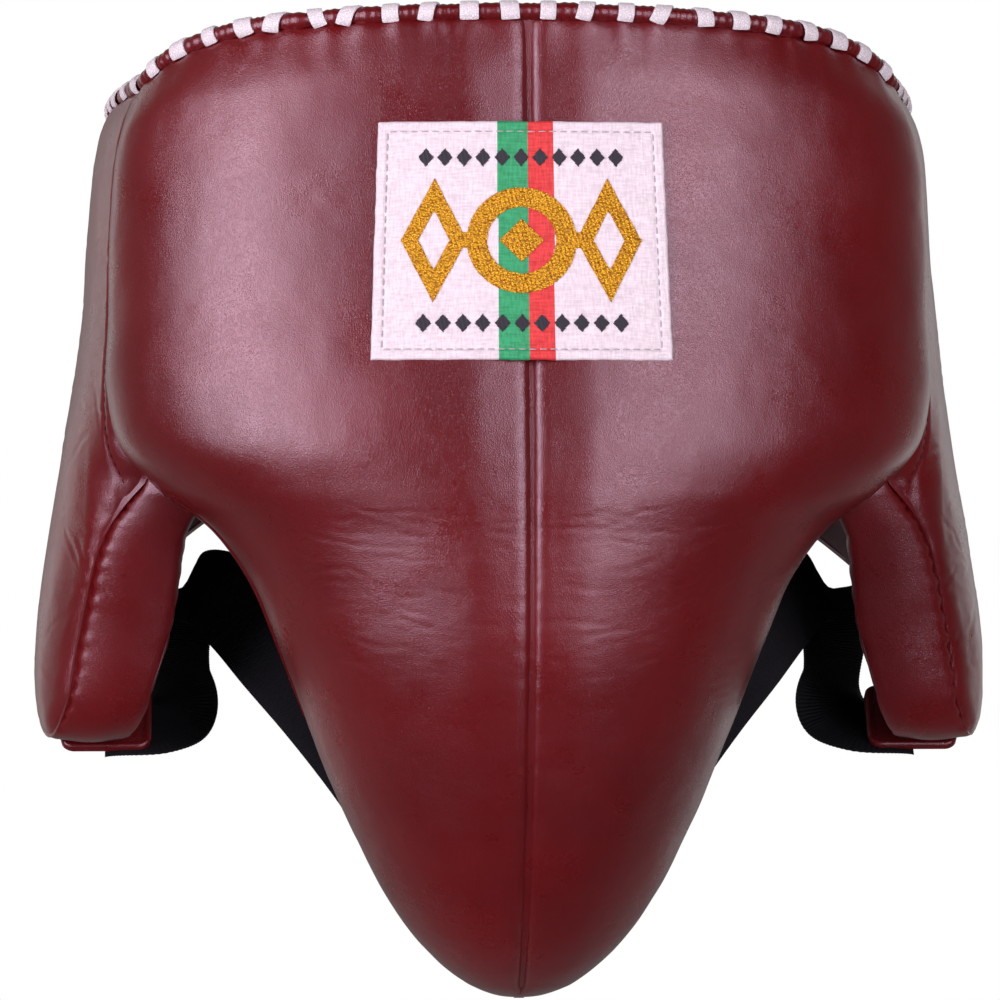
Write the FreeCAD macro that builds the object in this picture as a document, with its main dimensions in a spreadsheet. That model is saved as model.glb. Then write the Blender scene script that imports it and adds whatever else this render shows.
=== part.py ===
"""Boxing groin protector with padded hips, an elastic belt and elastic leg straps.

Millimetres, +Z up. The wearer looks along -Y, and left and right are as seen from the front, so the
left side is -X. The origin is the centre of the waist opening, half way up the belt. The padded front
meets each padded wing at a vertical fold in the plane y = fold_y, and the crotch tip is at z = tip_z.
"""
import FreeCAD, Part
import math
import os

from FreeCAD import Placement, Rotation, Vector

doc = FreeCAD.newDocument("groin_protector")

# ---- driving dimensions -------------------------------------------------------------------------
DIMENSIONS = {
    "fold_y": -70,             # plane of the two folds between the front and the wings
    "tip_z": -245,             # lowest point of the crotch tip
    "front_height": 331,       # tip to the middle of the top edge
    "half_width": 141,         # half the width at the folds
    "front_bulge": 80,         # how far the front stands forward of the folds
    "pad_thick": 34,           # whole pad at the front
    "side_thick": 26,          # whole pad at the folds and in the wings
    "leather_share": 0.059,    # outer leather, as a share of the pad
    "lining_share": 0.044,     # lining leather, as a share of the pad
    "cup_start": 0.42,         # where the cup lies in the pad, as shares of its thickness
    "cup_end": 0.53,
    "layer_gap": 0.009,        # clearance between layers, as a share of the pad
    "edge_leather": 2,         # leather of the edge gussets
    "fold_gap": 0.3,           # clearance each side of a fold
    "wing_reach": 158,         # how far the wings reach behind the folds
    "rear_reach": 122,         # rear half-ellipse of the waist, along Y
    "rear_centre": 65,         # its centre behind the folds
    "binding_tall": 5,
    "binding_deep": 6,         # room inside a turn of the lace
    "lace_wide": 5.5,
    "lace_thick": 1.1,
    "lace_pitch": 12.5,
    "label_wide": 94,
    "label_tall": 79,
    "label_x": -3,             # middle of the label, which is sewn a little off the centre seam
    "label_up": 256,           # middle of the label above the tip
    "strap_wide": 30,
    "strap_thick": 1.6,
    "tab_thick": 2.5,
    "tab_wide": 27,
    "tab_long": 32,
    "patch_thick": 2.2,
    "patch_wide": 52,
    "patch_tall": 26,
    "belt_radius": 193.6,
    "belt_centre_y": -88.6,
    "belt_bottom": -50,
    "belt_tall": 100,
    "belt_thick": 2,
    "belt_start": 67.7,        # degrees round from +X
    "belt_sweep": 19.8,
    "belt_tab_long": 16,
    "belt_tab_thick": 2.5,
    "fastener_tall": 88,
    "fastener_thick": 1.4,
    "fastener_start": 73,
    "fastener_sweep": 14,
    "end_tab_start": 84.2,
    "end_tab_sweep": 3.2,
}

sheet = doc.addObject("Spreadsheet::Sheet", "Dimensions")
for row, (alias, value) in enumerate(DIMENSIONS.items(), start=1):
    sheet.set(f"A{row}", alias)
    sheet.set(f"B{row}", str(value))
    sheet.setAlias(f"B{row}", alias)
doc.recompute()


def size(alias):
    """A driving dimension, read back from the sheet."""
    return float(getattr(sheet, alias))


# Outline of the front from tip to top: height above the tip, half width, bulge forward of the folds.
FRONT_OUTLINE = [
    (0, 9, 9), (7, 21, 20), (20, 35, 35), (36, 46, 48), (60, 58, 60), (90, 71, 71), (120, 83, 78),
    (145, 94, 80), (160, 105, 80), (175, 124, 80), (190, 137, 79), (208, 141, 76), (234, 140, 71),
    (267, 139, 66), (290, 137, 63), (304, 133.5, 61), (315, 128, 60), (345, 105, 57),
]
FRONT_SECTION_COUNT = 36
# Top edge of the front: place across, and how far the edge has fallen there below its middle.
TOP_EDGE = [(-50, 1), (0, 0), (50, 1), (85, 3), (97, 4.4), (106, 6.4), (113, 8.8), (118, 11),
            (124, 15), (132, 22), (150, 42)]
TOP_EDGE_STEPS = 12            # points of the top edge's curve each side of the middle
# Rear edge of the front pad, from the foot of the fold to the tip: behind the folds, above the tip.
LEG_EDGE = [(0, 180), (-5, 165), (-6, 140), (-2, 105), (5, 65), (9, 30), (8, -10)]
# Wing sections: height above the tip, half width at the fold, bulge outward of that.
WING_SECTIONS = [
    (70, 141, 29), (110, 141, 28), (150, 141, 23), (190, 141, 16), (234, 140, 11), (267, 139, 9),
    (290, 137, 9), (304, 133.5, 10), (315, 128, 10), (330, 117, 9),
]
# Lower edge of a wing, from the fold round the padded lobe to the rear: behind the fold, above the tip.
WING_EDGE = [(0, 178), (7, 163), (20, 121), (26, 99), (37, 88), (50, 92), (62, 107), (85, 131),
             (120, 159), (158, 190)]
WING_REAR_HIGH = 300           # heights of the wing's top corners above the tip
WING_FOLD_HIGH = 312
FAR = 260                      # a reach that clears the whole object
ABOVE = 380                    # a height above the tip that clears the whole object
BELOW = -20                    # and one that is under all of it


def at(x, behind, up):
    """A point from its place behind the folds and above the tip."""
    return Vector(x, behind + size("fold_y"), up + size("tip_z"))


def smooth_edge(points):
    curve = Part.BSplineCurve()
    curve.interpolate(points)
    return curve.toShape()


def closed_face(*edges):
    return Part.Face(Part.Wire(edges))


def line(start, end):
    return Part.LineSegment(start, end).toShape()


# ---- document helpers ---------------------------------------------------------------------------
def feature(name, shape):
    made = doc.addObject("Part::Feature", name)
    made.Shape = shape
    return made


def cut(name, base, tool):
    made = doc.addObject("Part::Cut", name)
    made.Base = base
    made.Tool = tool
    return made


def common(name, *shapes):
    made = doc.addObject("Part::MultiCommon", name)
    made.Shapes = list(shapes)
    return made


def mirrored(name, source):
    """The same piece on the other side of the plane x = 0."""
    made = doc.addObject("Part::Mirroring", name)
    made.Source = source
    made.Normal = Vector(1, 0, 0)
    return made


def bound_box(name, length, width, height, placement):
    """A box whose three sizes are expressions on the sheet."""
    made = doc.addObject("Part::Box", name)
    made.setExpression("Length", length)
    made.setExpression("Width", width)
    made.setExpression("Height", height)
    made.Placement = placement
    return made


# ---- front pad: nested blocks, cut to an outline ------------------------------------------------
def through(table, place):
    """A table's values at a place, on a smooth curve through its rows. Each row starts with its place."""
    last = len(table) - 1
    index = max(i for i in range(last) if table[i][0] <= place or i == 0)
    before = table[max(index - 1, 0)]
    start = table[index]
    end = table[index + 1]
    after = table[min(index + 2, last)]
    span = end[0] - start[0]
    share = (place - start[0]) / span
    values = []
    for field in range(1, len(start)):
        slope_in = (end[field] - before[field]) / (end[0] - before[0]) * span
        slope_out = (after[field] - start[field]) / (after[0] - start[0]) * span
        rise = end[field] - start[field]
        curve = slope_in * share * (1 - share) ** 2 - slope_out * share ** 2 * (1 - share)
        values.append(start[field] + rise * share ** 2 * (3 - 2 * share) + curve)
    return values


def front_outline(up):
    """Half width and bulge at a height above the tip."""
    return through(FRONT_OUTLINE, up)


def top_fall(x):
    """How far the top edge lies below its middle at a place across the front."""
    return through(TOP_EDGE, abs(x))[0]


def front_heights():
    """Heights of the loft's sections, closer together towards the tip."""
    top = FRONT_OUTLINE[-1][0]
    return [top * (index / FRONT_SECTION_COUNT) ** 1.5 for index in range(FRONT_SECTION_COUNT + 1)]


blocks = {}
BLOCK_REAR = 60                # how far a block reaches behind the folds, before it is cut to shape


def front_block(share):
    """Everything inside the pad's surface at this share of its thickness: 0 outside, 1 inside."""
    if share in blocks:
        return blocks[share]
    across = 1 - share * size("side_thick") / size("half_width")
    forward = 1 - share * size("pad_thick") / size("front_bulge")
    upright = 1 - share * size("pad_thick") / size("front_height")
    rear = BLOCK_REAR * (1 + share / 6)   # no two blocks' backs lie in one plane
    rows = []
    for up in front_heights():
        half, bulge = front_outline(up)
        half *= across
        bulge *= forward
        level = size("front_height") - (size("front_height") - up) * upright
        turns = [math.radians(a) for a in range(-90, 91, 15)]
        bow = [at(half * math.sin(a), -bulge * math.cos(a), level) for a in turns]
        left_side = [at(-half, rear * third / 3, level) for third in (3, 2, 1)]
        right_side = [at(half, rear * third / 3, level) for third in (1, 2, 3)]
        rows.append(left_side + bow + right_side)
    blocks[share] = feature(f"front_block_{len(blocks)}", bowed_solid(rows))
    return blocks[share]


def bowed_solid(rows):
    """A solid whose curved wall passes through rows of points, with a flat back and flat ends."""
    wall = Part.BSplineSurface()
    wall.interpolate(rows)
    wall = wall.toShape()
    edges = sorted(wall.Edges, key=lambda edge: edge.BoundBox.ZMin + edge.BoundBox.ZMax)
    bottom, top = edges[0], edges[-1]
    sides = edges[1:3]
    faces = [wall]
    closing = []
    for edge, row in ((bottom, rows[0]), (top, rows[-1])):
        closing.append(line(row[0], row[-1]))
        faces.append(Part.Face(Part.Wire([edge, closing[-1]])))
    faces.append(Part.Face(Part.Wire(Part.sortEdges(sides + closing)[0])))
    shell = Part.makeShell(faces)
    shell.sewShape()
    return Part.Solid(shell)


def top_limit(name, rise):
    """Everything under the arched top edge, raised by this much."""
    reach = TOP_EDGE[-1][0]
    places = [reach * step / TOP_EDGE_STEPS for step in range(-TOP_EDGE_STEPS, TOP_EDGE_STEPS + 1)]
    crest = [at(x, -FAR, size("front_height") - top_fall(x) + rise) for x in places]
    low_left = at(-reach, -FAR, BELOW)
    low_right = at(reach, -FAR, BELOW)
    face = closed_face(smooth_edge(crest), line(crest[-1], low_right), line(low_right, low_left),
                       line(low_left, crest[0]))
    return feature(name, face.extrude(Vector(0, 2 * FAR, 0)))


def rear_limit(name, inset):
    """Everything forward of the folds and of the leg edges, less an inset."""
    edge = [at(-FAR, behind - inset - size("fold_gap"), up) for behind, up in LEG_EDGE]
    fold_top = at(-FAR, -inset - size("fold_gap"), ABOVE)
    far_top = at(-FAR, -FAR, ABOVE)
    far_low = at(-FAR, -FAR, LEG_EDGE[-1][1])
    face = closed_face(smooth_edge(edge), line(edge[-1], far_low), line(far_low, far_top),
                       line(far_top, fold_top), line(fold_top, edge[0]))
    return feature(name, face.extrude(Vector(2 * FAR, 0, 0)))


def front_layer(name, outer, inner):
    return cut(name + "_layer", front_block(outer), front_block(inner))


def half_space(name, side):
    corner = at(-FAR if side < 0 else 0, -FAR, -50)
    made = doc.addObject("Part::Box", name)
    made.Length = FAR
    made.Width = 2 * FAR
    made.Height = 2 * FAR
    made.Placement = Placement(corner, Rotation())
    return made


SKIN = size("leather_share")
LINING = 1 - size("lining_share")
GAP = size("layer_gap")
CUP_START = size("cup_start")
CUP_END = size("cup_end")

full_top = top_limit("full_top", 0)
inset_top = top_limit("inset_top", -size("edge_leather"))
foam_top = top_limit("foam_top", -size("edge_leather") - size("fold_gap"))
full_rear = rear_limit("full_rear", 0)
inset_rear = rear_limit("inset_rear", size("edge_leather"))
foam_rear = rear_limit("foam_rear", size("edge_leather") + size("fold_gap"))
left_half = half_space("left_half", -1)
right_half = half_space("right_half", 1)

pieces = {}


def keep(node, shape):
    shape.Label = node
    pieces[node] = shape
    return shape


skin_layer = front_layer("front_skin", 0, SKIN)
keep("front_panel_left", common("front_panel_left", skin_layer, full_top, full_rear, left_half))
keep("front_panel_right", common("front_panel_right", skin_layer, full_top, full_rear, right_half))
keep("front_lining", common("front_lining", front_layer("lining", LINING, 1), full_rear, full_top))

outer_foam = front_layer("outer_foam", SKIN + GAP, CUP_START - GAP)
keep("front_foam_outer", common("front_foam_outer", outer_foam, foam_top, foam_rear))
inner_foam = front_layer("inner_foam", CUP_END + GAP, LINING - GAP)
keep("front_foam_inner", common("front_foam_inner", inner_foam, foam_top, foam_rear))


def cup_outline(name, grow):
    """The egg-shaped outline of the hard cup, seen from the front, as a long bar along Y."""
    rim = [(0, 24 - grow), (26 + grow, 40), (41 + grow, 74), (45 + grow, 112), (30 + grow, 146),
           (0, 156 + grow), (-30 - grow, 146), (-45 - grow, 112), (-41 - grow, 74), (-26 - grow, 40)]
    curve = Part.BSplineCurve()
    curve.interpolate([at(x, -FAR, up) for x, up in rim], PeriodicFlag=True)
    return feature(name, closed_face(curve.toShape()).extrude(Vector(0, 2 * FAR, 0)))


cup_layer = front_layer("cup", CUP_START, CUP_END)
keep("hard_cup", common("hard_cup", cup_layer, cup_outline("cup_bar", 0), foam_rear))
surround = cut("surround_layer", cup_layer, cup_outline("cup_hole", 0.5))
keep("cup_surround_foam", common("cup_surround_foam", surround, foam_top, foam_rear))

# Leather that closes the pad between the skin and the lining: along the top, and along each leg edge.
edge_layer = front_layer("front_edge", SKIN, LINING)
top_band = cut("front_top_band", full_top, inset_top)
keep("top_strip_front", common("top_strip_front", edge_layer, top_band, full_rear))
leg_band = cut("leg_band", full_rear, inset_rear)
keep("leg_edge_gusset_left", common("leg_edge_gusset_left", edge_layer, leg_band, inset_top, left_half))
keep("leg_edge_gusset_right",
     common("leg_edge_gusset_right", edge_layer, leg_band, inset_top, right_half))

# ---- binding and lace along the front's top edge ------------------------------------------------
BINDING_OUT = -0.02            # shares of the pad's thickness
BINDING_IN = 0.13
SEAT = 0.2                     # clearance between the binding and the strip it sits on
LACE_CLEAR = 0.9               # clearance between the binding's outer face and the lace
LACE_MARGIN = 7                # the last turns of lace stand this far from the ends of an edge
WALK_STEPS = 600               # steps in which an edge is walked to place the lace

binding_seat = top_limit("binding_seat", SEAT)
binding_crest = top_limit("binding_crest", SEAT + size("binding_tall"))
binding_band = cut("binding_band", binding_crest, binding_seat)
binding_layer = front_layer("front_binding", BINDING_OUT, BINDING_IN)
keep("top_binding_front", common("top_binding_front", binding_layer, binding_band, full_rear))


def top_edge(angle):
    """The point of the front's top edge at an angle round from straight ahead."""
    up = size("front_height")
    for _ in range(4):
        half, bulge = front_outline(up)
        up = size("front_height") - top_fall(half * math.sin(angle))
    return at(half * math.sin(angle), -bulge * math.cos(angle), up)


def wing_edge_point(station):
    """The point of the right wing's top edge at a station."""
    up = WING_FOLD_HIGH
    for _ in range(4):
        index = max(i for i, row in enumerate(WING_SECTIONS[:-1]) if row[0] <= up)
        low, half_low, bulge_low = WING_SECTIONS[index]
        high, half_high, bulge_high = WING_SECTIONS[index + 1]
        share = (up - low) / (high - low)
        place = waist(station, half_low + (half_high - half_low) * share,
                      bulge_low + (bulge_high - bulge_low) * share)
        up = WING_FOLD_HIGH - (WING_FOLD_HIGH - WING_REAR_HIGH) * place.y / size("wing_reach")
    return at(place.x, place.y, up)


def lace_turn(place, ahead):
    """One turn of flat lace over the binding: a bent band at a place, across the way ahead."""
    wide = size("lace_wide")
    thick = size("lace_thick")
    deep = size("binding_deep")
    band = Part.makeBox(wide, deep + 2 * thick, size("binding_tall") + 2 * thick,
                        Vector(-wide / 2, -thick - LACE_CLEAR, 2 * SEAT))
    inside = Part.makeBox(2 * wide, deep, size("binding_tall") + thick,
                          Vector(-wide, -LACE_CLEAR, 2 * SEAT))
    band = band.cut(inside)
    heading = math.degrees(math.atan2(ahead.y, ahead.x))
    pitch = math.degrees(math.atan2(ahead.z, math.hypot(ahead.x, ahead.y)))
    turned = Rotation(Vector(0, 0, 1), heading).multiply(Rotation(Vector(0, 1, 0), -pitch))
    band.Placement = Placement(place, turned)
    return band


def lace_turns(name, edge, start, end, margin):
    """Turns of lace one pitch apart along an edge, a margin in from each end of it."""
    steps = WALK_STEPS
    points = [edge(start + (end - start) * step / steps) for step in range(steps + 1)]
    walked = [0]
    for before, here in zip(points, points[1:]):
        walked.append(walked[-1] + (here - before).Length)
    room = walked[-1] - 2 * margin
    count = int(room // size("lace_pitch"))
    turns = []
    for number in range(count + 1):
        wanted = margin + room * number / count
        step = min(range(1, steps), key=lambda index: abs(walked[index] - wanted))
        turns.append(lace_turn(points[step], points[step + 1] - points[step - 1]))
    return feature(name, Part.makeCompound(turns))


front_turns = lace_turns("front_turns", top_edge, -math.pi / 2, math.pi / 2, LACE_MARGIN)
keep("front_lacing", cut("front_lacing", front_turns, binding_seat))

# ---- woven label on the front -------------------------------------------------------------------
label_layer = front_layer("label", -0.03, -0.004)
label_bar = bound_box("label_bar", "Dimensions.label_wide", "Dimensions.front_bulge",
                      "Dimensions.label_tall",
                      Placement(at(size("label_x") - size("label_wide") / 2, -size("front_bulge") - 8,
                                   size("label_up") - size("label_tall") / 2), Rotation()))
keep("label_patch", common("label_patch", label_layer, label_bar))

# ---- crotch patch that covers the sewn ends of the leg straps -----------------------------------
PATCH_BEHIND = 12.7
patch_place = Placement(at(-size("patch_wide") / 2, PATCH_BEHIND, 10), Rotation())
keep("crotch_patch", bound_box("crotch_patch", "Dimensions.patch_wide", "Dimensions.patch_thick",
                               "Dimensions.patch_tall", patch_place))

# ---- wings --------------------------------------------------------------------------------------
WING_STATIONS = [0, 0.1, 0.2, 0.3, 0.42, 0.56, 0.7, 0.85, 1]
WING_WIDEST = 0.3              # station of the widest point
WING_TURN = math.radians(72)   # how far round the rear half-ellipse the wing's surface goes
WING_PLANE = 20                # the side outline of the wing is drawn at this place across
BINDING_END = 1                # the wing's binding stops this short of each end of the wing


def waist(station, half, bulge):
    """A point of the waist's outline in plan, from the fold at station 0 to the rear at station 1."""
    centre = size("rear_centre")
    if station < WING_WIDEST:
        share = station / WING_WIDEST
        return Vector(half + bulge * math.sin(share * math.pi / 2), share * centre, 0)
    turn = (station - WING_WIDEST) / (1 - WING_WIDEST) * WING_TURN
    return Vector((half + bulge) * math.cos(turn), centre + size("rear_reach") * math.sin(turn), 0)


def waist_inside(station, half, bulge, depth):
    """The same point, moved into the wing by a depth square to the outline."""
    step = 0.004
    ahead = waist(station + step, half, bulge) - waist(station - step, half, bulge)
    if station == 0:
        ahead = Vector(0, 1, 0)
    inward = Vector(-ahead.y, ahead.x, 0).normalize()
    return waist(station, half, bulge) + inward * depth


def wing_layer(name, outer, inner):
    """One layer of the right wing between two shares of its thickness, before it is cut to shape."""
    wires = []
    for up, half, bulge in WING_SECTIONS:
        rows = []
        for share in (outer, inner):
            depth = share * size("side_thick")
            plan = [waist_inside(station, half, bulge, depth) for station in WING_STATIONS]
            rows.append([at(p.x, p.y, up) for p in plan])
        outside, inside = rows
        wires.append(Part.Wire([smooth_edge(outside), line(outside[-1], inside[-1]),
                                smooth_edge(inside[::-1]), line(inside[0], outside[0])]))
    return feature(name + "_layer", Part.makeLoft(wires, True, False))


def wing_face(inset):
    """The wing seen from the side, drawn in by an inset, in a plane nearer the middle than any of it."""
    rear = size("wing_reach") - inset
    fold_low = at(WING_PLANE, size("fold_gap") + inset, WING_EDGE[0][1])
    fold_high = at(WING_PLANE, size("fold_gap") + inset, WING_FOLD_HIGH - inset)
    rear_high = at(WING_PLANE, rear, WING_REAR_HIGH - inset)
    rear_low = at(WING_PLANE, rear, WING_EDGE[-1][1] + inset / 2)
    lower = [fold_low]
    for before, here, after in zip(WING_EDGE, WING_EDGE[1:], WING_EDGE[2:]):
        ahead = Vector(after[0] - before[0], after[1] - before[1], 0).normalize()
        lower.append(at(WING_PLANE, here[0] - ahead.y * inset, here[1] + ahead.x * inset))
    lower.append(rear_low)
    return closed_face(line(fold_low, fold_high), line(fold_high, rear_high),
                       line(rear_high, rear_low), smooth_edge(lower[::-1]))


def wing_bar(name, inset):
    return feature(name, wing_face(inset).extrude(Vector(FAR, 0, 0)))


def wing_crest(name, rise):
    """Everything under the wing's top edge, raised by this much, and behind the fold."""
    front = size("fold_gap") + BINDING_END
    rear = size("wing_reach") - BINDING_END
    corners = [at(WING_PLANE, front, BELOW), at(WING_PLANE, front, WING_FOLD_HIGH + rise),
               at(WING_PLANE, rear, WING_REAR_HIGH + rise), at(WING_PLANE, rear, BELOW)]
    face = Part.Face(Part.makePolygon(corners + corners[:1]))
    return feature(name, face.extrude(Vector(FAR, 0, 0)))


wing_full = wing_bar("wing_full", 0)
wing_inset = wing_bar("wing_inset", size("edge_leather"))
wing_foam = wing_bar("wing_foam", size("edge_leather") + size("fold_gap"))
wing_band = cut("wing_band", wing_full, wing_inset)
WING_MIDDLE = 0.5              # where the two foam layers meet, as a share of the wing's thickness
WING_EDGE_GAP = 0.003          # clearance between the wing's edge leather and its two faces, as a share

wing_parts = {
    "wing_panel": common("wing_panel", wing_layer("wing_skin", 0, SKIN), wing_full),
    "wing_foam_outer": common("wing_foam_outer",
                              wing_layer("wing_outer", SKIN + GAP, WING_MIDDLE - GAP), wing_foam),
    "wing_foam_inner": common("wing_foam_inner",
                              wing_layer("wing_inner", WING_MIDDLE, LINING - GAP), wing_foam),
    "wing_lining": common("wing_lining", wing_layer("wing_lining", LINING, 1), wing_full),
    "wing_gusset": common("wing_gusset",
                          wing_layer("wing_edge", SKIN + WING_EDGE_GAP, LINING - WING_EDGE_GAP), wing_band),
}

WING_BINDING_IN = 0.17         # the binding's shares of the wing's thickness
wing_seat = wing_crest("wing_seat", SEAT)
wing_binding_crest = wing_crest("wing_binding_crest", SEAT + size("binding_tall"))
wing_binding = wing_layer("wing_binding", BINDING_OUT, WING_BINDING_IN)
wing_parts["top_binding"] = common("wing_top_binding", wing_binding,
                                   cut("wing_binding_band", wing_binding_crest, wing_seat))

WING_EDGE_END = 0.82           # station where the wing's top edge meets its rear end
wing_turns = lace_turns("wing_turns", wing_edge_point, 0, WING_EDGE_END, LACE_MARGIN)
wing_parts["wing_lacing"] = cut("wing_lacing", wing_turns, wing_seat)

# Leather tab on the sloping rear of the lobe, that holds the leg strap.
TAB_SLOPE = 52                 # degrees that the tab leans back from level
tab_place = Placement(at(127, 47.4, 82.5), Rotation(Vector(1, 0, 0), TAB_SLOPE))
wing_parts["strap_tab"] = bound_box("strap_tab", "Dimensions.tab_long", "Dimensions.tab_wide",
                                    "Dimensions.tab_thick", tab_place)

# ---- elastic belt: sectors of one ring ----------------------------------------------------------
def ring_sector(name, outside, thickness, start, sweep, tall, low):
    """A curved strip of the belt's ring. outside is its outer radius, as an expression."""
    walls = []
    for role, radius in (("outside", outside), ("inside", f"{outside} - {thickness}")):
        wall = doc.addObject("Part::Cylinder", f"{name}_{role}")
        wall.setExpression("Radius", radius)
        wall.setExpression("Height", tall)
        wall.setExpression("Angle", sweep)
        wall.Placement = Placement(Vector(0, size("belt_centre_y"), low),
                                   Rotation(Vector(0, 0, 1), size(start)))
        walls.append(wall)
    return cut(name, *walls)


RADIUS = "Dimensions.belt_radius"
BELT_LOW = size("belt_bottom")
FASTENER_LOW = BELT_LOW + (size("belt_tall") - size("fastener_tall")) / 2
INSIDE_FACE = RADIUS + " - Dimensions.belt_thick"

# Leather tab sewn flat on the wing's rear end, where the belt starts.
belt_tab_place = Placement(at(74.3, size("wing_reach") + 0.1, size("belt_bottom") - size("tip_z")),
                           Rotation())
wing_parts["belt_tab"] = bound_box("belt_tab", "Dimensions.belt_tab_long",
                                   "Dimensions.belt_tab_thick", "Dimensions.belt_tall", belt_tab_place)
belt_right = ring_sector(
    "belt_elastic_right", RADIUS, "Dimensions.belt_thick", "belt_start", "Dimensions.belt_sweep",
    "Dimensions.belt_tall", BELT_LOW)
outer_fastener = ring_sector(
    "hook_patch", RADIUS + " + Dimensions.fastener_thick", "Dimensions.fastener_thick",
    "fastener_start", "Dimensions.fastener_sweep", "Dimensions.fastener_tall", FASTENER_LOW)
inner_fastener = ring_sector(
    "inner_fastener", INSIDE_FACE, "Dimensions.fastener_thick",
    "fastener_start", "Dimensions.fastener_sweep", "Dimensions.fastener_tall", FASTENER_LOW)
inner_end_tab = ring_sector(
    "belt_end_tab_right", INSIDE_FACE, "Dimensions.fastener_thick",
    "end_tab_start", "Dimensions.end_tab_sweep", "Dimensions.fastener_tall", FASTENER_LOW)
outer_end_tab = ring_sector(
    "outer_end_tab", RADIUS + " + Dimensions.fastener_thick", "Dimensions.fastener_thick",
    "end_tab_start", "Dimensions.end_tab_sweep", "Dimensions.fastener_tall", FASTENER_LOW)

keep("belt_elastic_right", belt_right)
keep("belt_elastic_left", mirrored("belt_elastic_left", belt_right))
keep("hook_patch", outer_fastener)
keep("belt_end_tab_right", inner_end_tab)
keep("loop_patch", mirrored("loop_patch", inner_fastener))
keep("belt_end_tab_left", mirrored("belt_end_tab_left", outer_end_tab))

# ---- leg straps: flat elastic ribbons -----------------------------------------------------------
# Middle line of the right strap and the way its width points, from the crotch to the wing's tab.
STRAP_ROUTE = [
    ((14, 11, 20), (-0.77, 0, 0.63)),
    ((25, 11.4, 38), (-0.77, 0, 0.63)),
    ((38, 15, 58), (-0.77, 0, 0.63)),
    ((52, 25, 78), (-0.77, 0.05, 0.63)),
    ((68, 38, 98), (-0.76, 0.1, 0.64)),
    ((83, 50, 115), (-0.75, 0.1, 0.65)),
    ((96, 62, 130), (-0.74, 0.1, 0.66)),
    ((108, 74, 140), (-0.70, 0.0, 0.71)),
    ((116, 81, 139), (-0.72, -0.1, 0.60)),
    ((119, 84, 124), (-0.78, -0.45, 0.30)),
    ((118, 80, 106), (-0.72, -0.60, 0.27)),
    ((120, 69, 94), (-0.85, -0.24, -0.33)),
    ((128, 59.5, 90), (-0.45, -0.70, -0.50)),
    ((143, 56.5, 92.5), (0, -0.616, -0.788)),
]


def ribbon(route, wide, thick):
    """A flat strip along a route, as a chain of straight-sided spans between rectangles."""
    centres = [at(*point) for point, _ in route]
    sections = []
    for index, (_, across) in enumerate(route):
        before = centres[max(index - 1, 0)]
        after = centres[min(index + 1, len(centres) - 1)]
        along = (after - before).normalize()
        across = Vector(*across)
        across = (across - along * across.dot(along)).normalize()
        face = along.cross(across)
        corners = []
        for side, top in ((-1, -1), (1, -1), (1, 1), (-1, 1)):
            corners.append(centres[index] + across * (side * wide / 2) + face * (top * thick / 2))
        sections.append(Part.makePolygon(corners + corners[:1]))
    return Part.makeLoft(sections, True, True)


strap_right = feature("leg_strap_right",
                      ribbon(STRAP_ROUTE, size("strap_wide"), size("strap_thick")))
keep("leg_strap_right", strap_right)
keep("leg_strap_left", mirrored("leg_strap_left", strap_right))

for part_name, right_piece in wing_parts.items():
    keep(part_name + "_right", right_piece)
    keep(part_name + "_left", mirrored(part_name + "_left", right_piece))

# ---- check every object, then write every piece ------------------------------------------------
doc.recompute()
for made in doc.Objects:
    if "Invalid" in made.State or "Error" in made.State:
        raise SystemExit(f"{made.Name} failed: {made.State}")

os.makedirs("parts", exist_ok=True)
for node, piece in sorted(pieces.items()):
    shape = piece.Shape
    if shape.isNull() or not shape.isValid() or not shape.Solids:
        raise SystemExit(f"{node} has no valid shape")
    print(f"{node}: {len(shape.Solids)} solids, {shape.Volume / 1000:.1f} cm3")
    shape.exportStep(f"parts/{node}.step")
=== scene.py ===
"""Visual model of a boxing groin protector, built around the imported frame.

Shapes are worked out in millimetres as (x, behind the fold plane, above the crotch tip) and then moved
into the frame. Left and right are as seen from the front, so the left side is -X.
"""
import math

import bpy
import bmesh
import numpy as np
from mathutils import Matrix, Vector


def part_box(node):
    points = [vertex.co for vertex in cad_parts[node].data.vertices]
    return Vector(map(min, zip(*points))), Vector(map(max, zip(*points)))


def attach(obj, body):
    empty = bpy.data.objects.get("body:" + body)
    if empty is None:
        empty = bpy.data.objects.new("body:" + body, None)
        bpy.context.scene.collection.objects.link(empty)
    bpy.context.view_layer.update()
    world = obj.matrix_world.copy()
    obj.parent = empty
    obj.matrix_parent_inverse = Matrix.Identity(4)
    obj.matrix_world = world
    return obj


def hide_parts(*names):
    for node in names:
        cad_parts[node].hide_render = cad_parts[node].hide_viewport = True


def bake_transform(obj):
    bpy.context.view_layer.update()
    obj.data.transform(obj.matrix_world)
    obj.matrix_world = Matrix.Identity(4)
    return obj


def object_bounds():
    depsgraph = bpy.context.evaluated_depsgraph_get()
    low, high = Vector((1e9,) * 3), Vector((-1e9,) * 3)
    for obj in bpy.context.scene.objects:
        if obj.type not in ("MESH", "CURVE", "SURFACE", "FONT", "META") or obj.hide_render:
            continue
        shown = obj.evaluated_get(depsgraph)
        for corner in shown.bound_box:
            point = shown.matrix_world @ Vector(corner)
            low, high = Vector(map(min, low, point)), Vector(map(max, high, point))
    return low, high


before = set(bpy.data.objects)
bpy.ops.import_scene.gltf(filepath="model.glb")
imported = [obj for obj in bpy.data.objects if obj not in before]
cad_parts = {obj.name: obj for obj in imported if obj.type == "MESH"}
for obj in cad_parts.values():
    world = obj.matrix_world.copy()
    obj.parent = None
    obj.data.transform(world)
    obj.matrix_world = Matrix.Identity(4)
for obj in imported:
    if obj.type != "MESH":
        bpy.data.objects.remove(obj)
cad_low, cad_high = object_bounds()

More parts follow.
